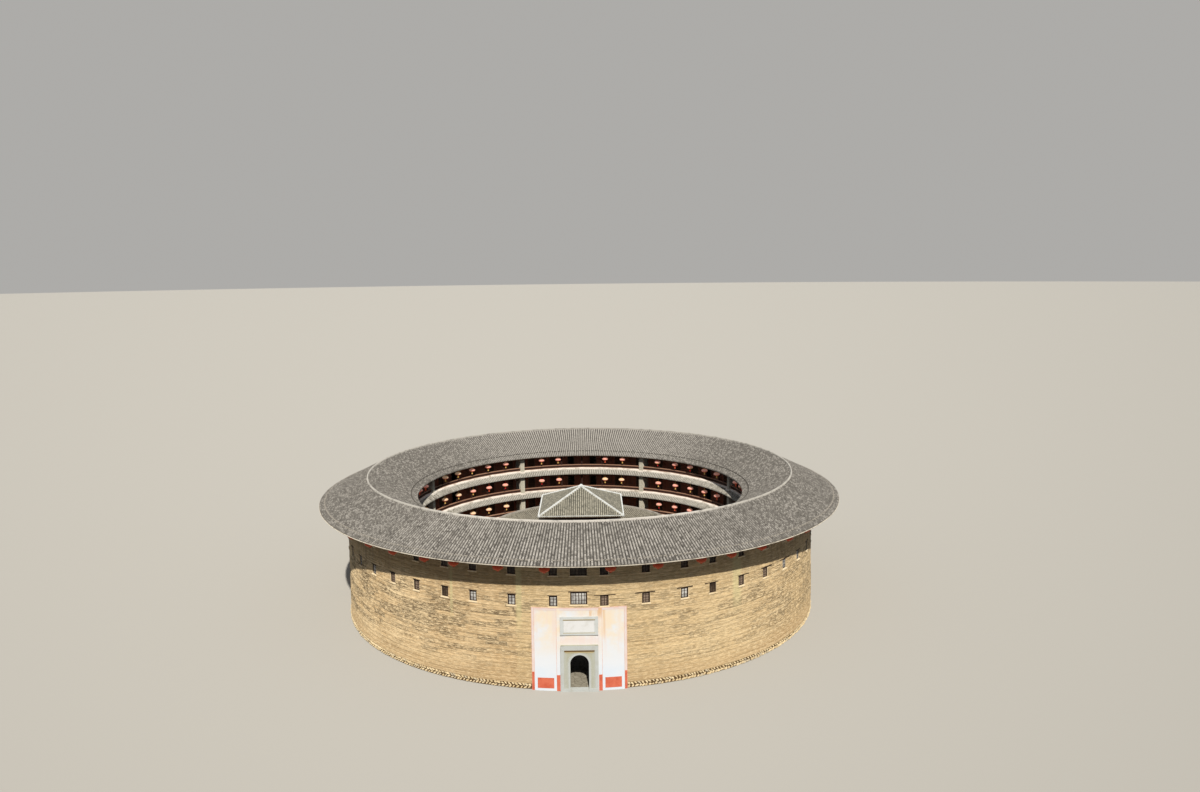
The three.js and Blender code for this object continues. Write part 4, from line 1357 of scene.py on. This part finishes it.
def buildLowRing():
    for offset, side in enumerate(ringSides):
        bm = slopeTiles(lowRing, side, 70 + offset)
        clearHall(bm)
        finishPiece(f"low_ring_tiles_{side}", bm, [lowTileFinish], "roof_tile",
                    ("inner_ring_roof",), smoothUnder=40)
    bm = roofShell(lowRing, 144)
    clearHall(bm)
    finishPiece("low_ring_boarding", bm, [eaveTimber], "dark_timber", smoothUnder=30)
    bm = bmesh.new()
    roughen(addCap(bm, lowRing, 192), 0.02, 0.6)
    clearHall(bm)
    finishPiece("low_ring_ridge", bm, [earthyTile], "roof_tile", smoothUnder=60)
    bm = roofRafters(lowRing)
    hit = facesOf([vert for vert in bm.verts if inHall(vert.co, 0.1)])
    inTheWay = {vert for face in hit for vert in linked(face)}
    bmesh.ops.delete(bm, geom=list(inTheWay), context="VERTS")
    finishPiece("low_ring_rafters", bm, [eaveTimber], "dark_timber")


def finishHall(name, bm, *rest, **options):     # the hall's roof is shaped round the origin
    bmesh.ops.translate(bm, vec=(*hall["centre"], 0), verts=bm.verts[:])
    finishPiece(name, bm, *rest, **options)


def buildHallRoof():
    half, eave, apex = hall["roofHalf"], hall["eave"], hall["apex"]

    def surface(across, up, lift):
        height = eave + (apex - eave) * up + lift
        return Vector((-half + 2 * half * across, -half * (1 - up), height))

    bm = tileStrip(hall["rows"], hall["courses"], surface, 90)
    for normal in ((1, 1, 0), (-1, 1, 0)):   # the hips cut the slope to a triangle
        cutAt(bm, (0, 0, 0), normal, clear=True)
    repeatAround(bm, 3, 90)
    finishHall("hall_roof_tiles", bm, [hallTileFinish], "roof_tile", ("hall_roof",), smoothUnder=40)

    bm = bmesh.new()
    inner = half - 0.04
    boards = bmesh.ops.create_cone(bm, cap_ends=True, cap_tris=False, segments=4, depth=1,
                                   radius1=inner * sqrt(2), radius2=0.05,
                                   matrix=turned(45))["verts"]
    for vert in boards:
        vert.co.z = (eave if vert.co.z < 0 else apex) - 0.1
    addBox(bm, (-inner, -inner, eave - 0.2), (inner, inner, eave - 0.095))
    finishHall("hall_roof_boarding", bm, [eaveTimber], "dark_timber")

    bm = bmesh.new()
    reach = half * sqrt(2) - 0.02
    width, crown, thickness = hall["hip"]
    for quarter in range(4):
        known = set(bm.verts)
        made = addGrid(bm, 4, 40)
        for vert in made:
            across, up = vert.co.x * 2, vert.co.y + 0.5
            vert.co = (across * width, -reach * (1 - up),
                       eave + (apex - eave) * up - thickness + cos(across * pi / 2) * crown)
        bmesh.ops.solidify(bm, geom=facesOf(made), thickness=thickness)
        bmesh.ops.transform(bm, matrix=turned(45 + 90 * quarter),
                            verts=[vert for vert in bm.verts if vert not in known])
    for quarter, rimTop in enumerate(hall["rimTops"]):
        addBox(bm, (-half, -half, eave - 0.02), (half, hall["rim"] - half, eave + rimTop),
               turned(90 * quarter))
    low, high, tall = hall["finial"]
    bmesh.ops.create_cone(bm, cap_ends=True, cap_tris=False, segments=12, radius1=low, radius2=high,
                          depth=tall, matrix=Matrix.Translation((0, 0, apex + 0.1)))
    roughen(bm.verts, 0.015, 0.5)
    bmesh.ops.recalc_face_normals(bm, faces=bm.faces[:])
    finishHall("hall_roof_hips", bm, [whiteMortar], "white_mortar", smoothUnder=50)


buildLowRing()
buildHallRoof()
print("court built")


# Lanterns: round ones under the outer eave, flat ones at the gallery posts

lanterns = {
    "outerRadius": 30.3,
    "outerHeight": 12.93,
    "outerSize": (0.54, 0.35),
    "outerAngles": (6.1, 14.7, 23.0, 30.3, 37.8, 45.6, *(53 + 7.4 * step for step in range(16)),
                    172),
    "galleryRadius": 20.92,
    "gallerySize": (0.43, 0.24),
    "tassels": (0.08, 0.32),       # outer, gallery
    "drop": 0.62,                  # below the gallery's beam
    "backAngles": (9.6, 16.4),     # from the middle of the back, where the posts don't hold them
    "silks": ((0, 1, 1), (0, 3, 2), (4, 1, 3), (0, 1, 3)),     # upper half, lower half, tassel; the paler silks of the upper halves are a painted highlight of the sun
}


def lantern(size, rod, tasselLength, upperSilk, lowerSilk, tasselFinish):
    bm = bmesh.new()
    wide, tall = size
    body = bmesh.ops.create_uvsphere(bm, u_segments=12, v_segments=7, radius=1,
                                     matrix=Matrix.Diagonal((wide, wide, tall, 1)))["verts"]
    for face in facesOf(body):
        # painted highlight: the upper half is given a paler silk than the lower half
        face.material_index = upperSilk if face.calc_center_median().z > -0.1 * tall else lowerSilk
    for level, low, high, depth in ((tall * 0.93, 0.32, 0.32, tall * 0.28),
                                    (-tall * 0.93, 0.32, 0.32, tall * 0.28),
                                    (-tall - tasselLength / 2, 0.22, 0.14, tasselLength)):
        end = bmesh.ops.create_cone(bm, cap_ends=True, cap_tris=False, segments=8,
                                    radius1=wide * low, radius2=wide * high, depth=depth,
                                    matrix=Matrix.Translation((0, 0, level)))["verts"]
        paint(facesOf(end), tasselFinish)
    addBox(bm, (-0.012, -0.012, tall), (0.012, 0.012, rod), finish=tasselFinish)
    return asTemplate(bm)


def buildLanterns():
    draw = Random(3)
    bm = bmesh.new()
    outerTassel, galleryTassel = lanterns["tassels"]
    radius, height = lanterns["outerRadius"], lanterns["outerHeight"]
    under = slopeHeight(mainRoof, "outer", radius) - mainRoof["thickness"]
    red = lantern(lanterns["outerSize"], under - height + 0.05, outerTassel, 0, 0, 0)
    for angle in mirrored(lanterns["outerAngles"]):
        stamp(bm, red, facing(radius, angle + draw.uniform(-0.5, 0.5), height))
    finishPiece("eave_lanterns", bm, [redSilk], "red_silk", smoothUnder=50)

    bm = bmesh.new()
    radius = lanterns["galleryRadius"]
    angles = [angle for angle in bayAngles(1, 1) if abs(signed(angle)) < pierAngles[-1]]
    backAngles = [180 + turn for turn in mirrored(lanterns["backAngles"])]
    for storey in (1, 2, 3):
        last = storey == 3
        beam = (slopeHeight(mainRoof, "inner", radius) - mainRoof["thickness"]
                if last else floorTops[storey + 1] - 0.25)
        drop = lanterns["drop"] + (0.2 if last else 0.25)
        kinds = [lantern(lanterns["gallerySize"], drop, galleryTassel, *silks)
                 for silks in lanterns["silks"]]
        for angle in angles + (backAngles if storey > 1 else []):      # none behind the hall
            angle += draw.uniform(-0.3, 0.3)
            place = facing(radius + (0 if last else 0.1), angle, beam - drop)
            stamp(bm, draw.choice(kinds), place)
    finishPiece("gallery_lanterns", bm, [sunlitTopPinkSilk, coralSilk, scarletSilk, goldSilk, sunlitTopPaleSilk],
                "red_silk", smoothUnder=50)


buildLanterns()
print("lanterns built")


# Floor, light and camera

studio = {
    "floorHalf": 900.0,
    "floor": (174, 171, 164),
    "lens": 28.0,
    "cameraAt": (0.652, -57.50, 20.70),
    "pitchDown": 8.102,
    "yaw": 0.633,
    "roll": -0.592,
    "sunAzimuth": 5.5,
    "sunElevation": 41.5,
    "sunStrength": 3.9,
    "sunSoftness": 0.9,
    "sunColour": (1.0, 0.95, 0.87),
    "sky": (226, 236, 250),
    "skyStrength": 0.31,
    "backdrop": (240, 238, 234),
    "backdropStrength": 0.48,
}


def turnedTo(thing, quaternion):
    thing.rotation_mode = "QUATERNION"
    thing.rotation_quaternion = quaternion


def buildFloor():
    bm = bmesh.new()
    bmesh.ops.create_circle(bm, cap_ends=True, cap_tris=False, segments=64,
                            radius=studio["floorHalf"])
    mesh = bpy.data.meshes.new("studio_floor")
    bm.to_mesh(mesh)
    bm.free()
    mesh.materials.append(Finish("studio floor", 0.9, 0.1).use(studio["floor"]))
    addObject("studio_floor", mesh)


def buildLight():
    world = bpy.data.worlds.new("studio")
    bpy.context.scene.world = world
    world.use_nodes = True
    nodes, links = world.node_tree.nodes, world.node_tree.links
    sky, backdrop = nodes["Background"], nodes.new("ShaderNodeBackground")
    for node, name in ((sky, "sky"), (backdrop, "backdrop")):
        node.inputs["Color"].default_value = tint(studio[name])
        node.inputs["Strength"].default_value = studio[name + "Strength"]
    seen, chosen = nodes.new("ShaderNodeLightPath"), nodes.new("ShaderNodeMixShader")
    for output, entry in ((seen.outputs["Is Camera Ray"], chosen.inputs[0]),
                          (sky.outputs[0], chosen.inputs[1]),
                          (backdrop.outputs[0], chosen.inputs[2]),
                          (chosen.outputs[0], nodes["World Output"].inputs["Surface"])):
        links.new(output, entry)

    sun = bpy.data.lights.new("key_light", "SUN")
    sun.energy = studio["sunStrength"]
    sun.angle = radians(studio["sunSoftness"])
    sun.color = studio["sunColour"]
    rise = radians(studio["sunElevation"])
    towards = onRing(cos(rise), studio["sunAzimuth"], sin(rise))
    turnedTo(addObject("key_light", sun), towards.to_track_quat("Z", "Y"))


def placeCamera():
    lens = bpy.data.cameras.new("camera")
    lens.lens = studio["lens"]
    lens.sensor_width = 36.0
    lens.clip_start, lens.clip_end = 0.5, 3000.0
    camera = addObject("camera", lens)
    pitch, yaw, roll = (radians(studio[name]) for name in ("pitchDown", "yaw", "roll"))
    forward = Vector((sin(yaw) * cos(pitch), cos(yaw) * cos(pitch), -sin(pitch)))
    right = forward.cross(Vector((0, 0, 1))).normalized()
    up = right.cross(forward)
    axes = (right * cos(roll) + up * sin(roll), up * cos(roll) - right * sin(roll), -forward)
    turnedTo(camera, Matrix(axes).transposed().to_quaternion())
    camera.location = studio["cameraAt"]
    bpy.context.scene.camera = camera
    bpy.context.scene.view_settings.view_transform = "Standard"


buildFloor()
buildLight()
placeCamera()
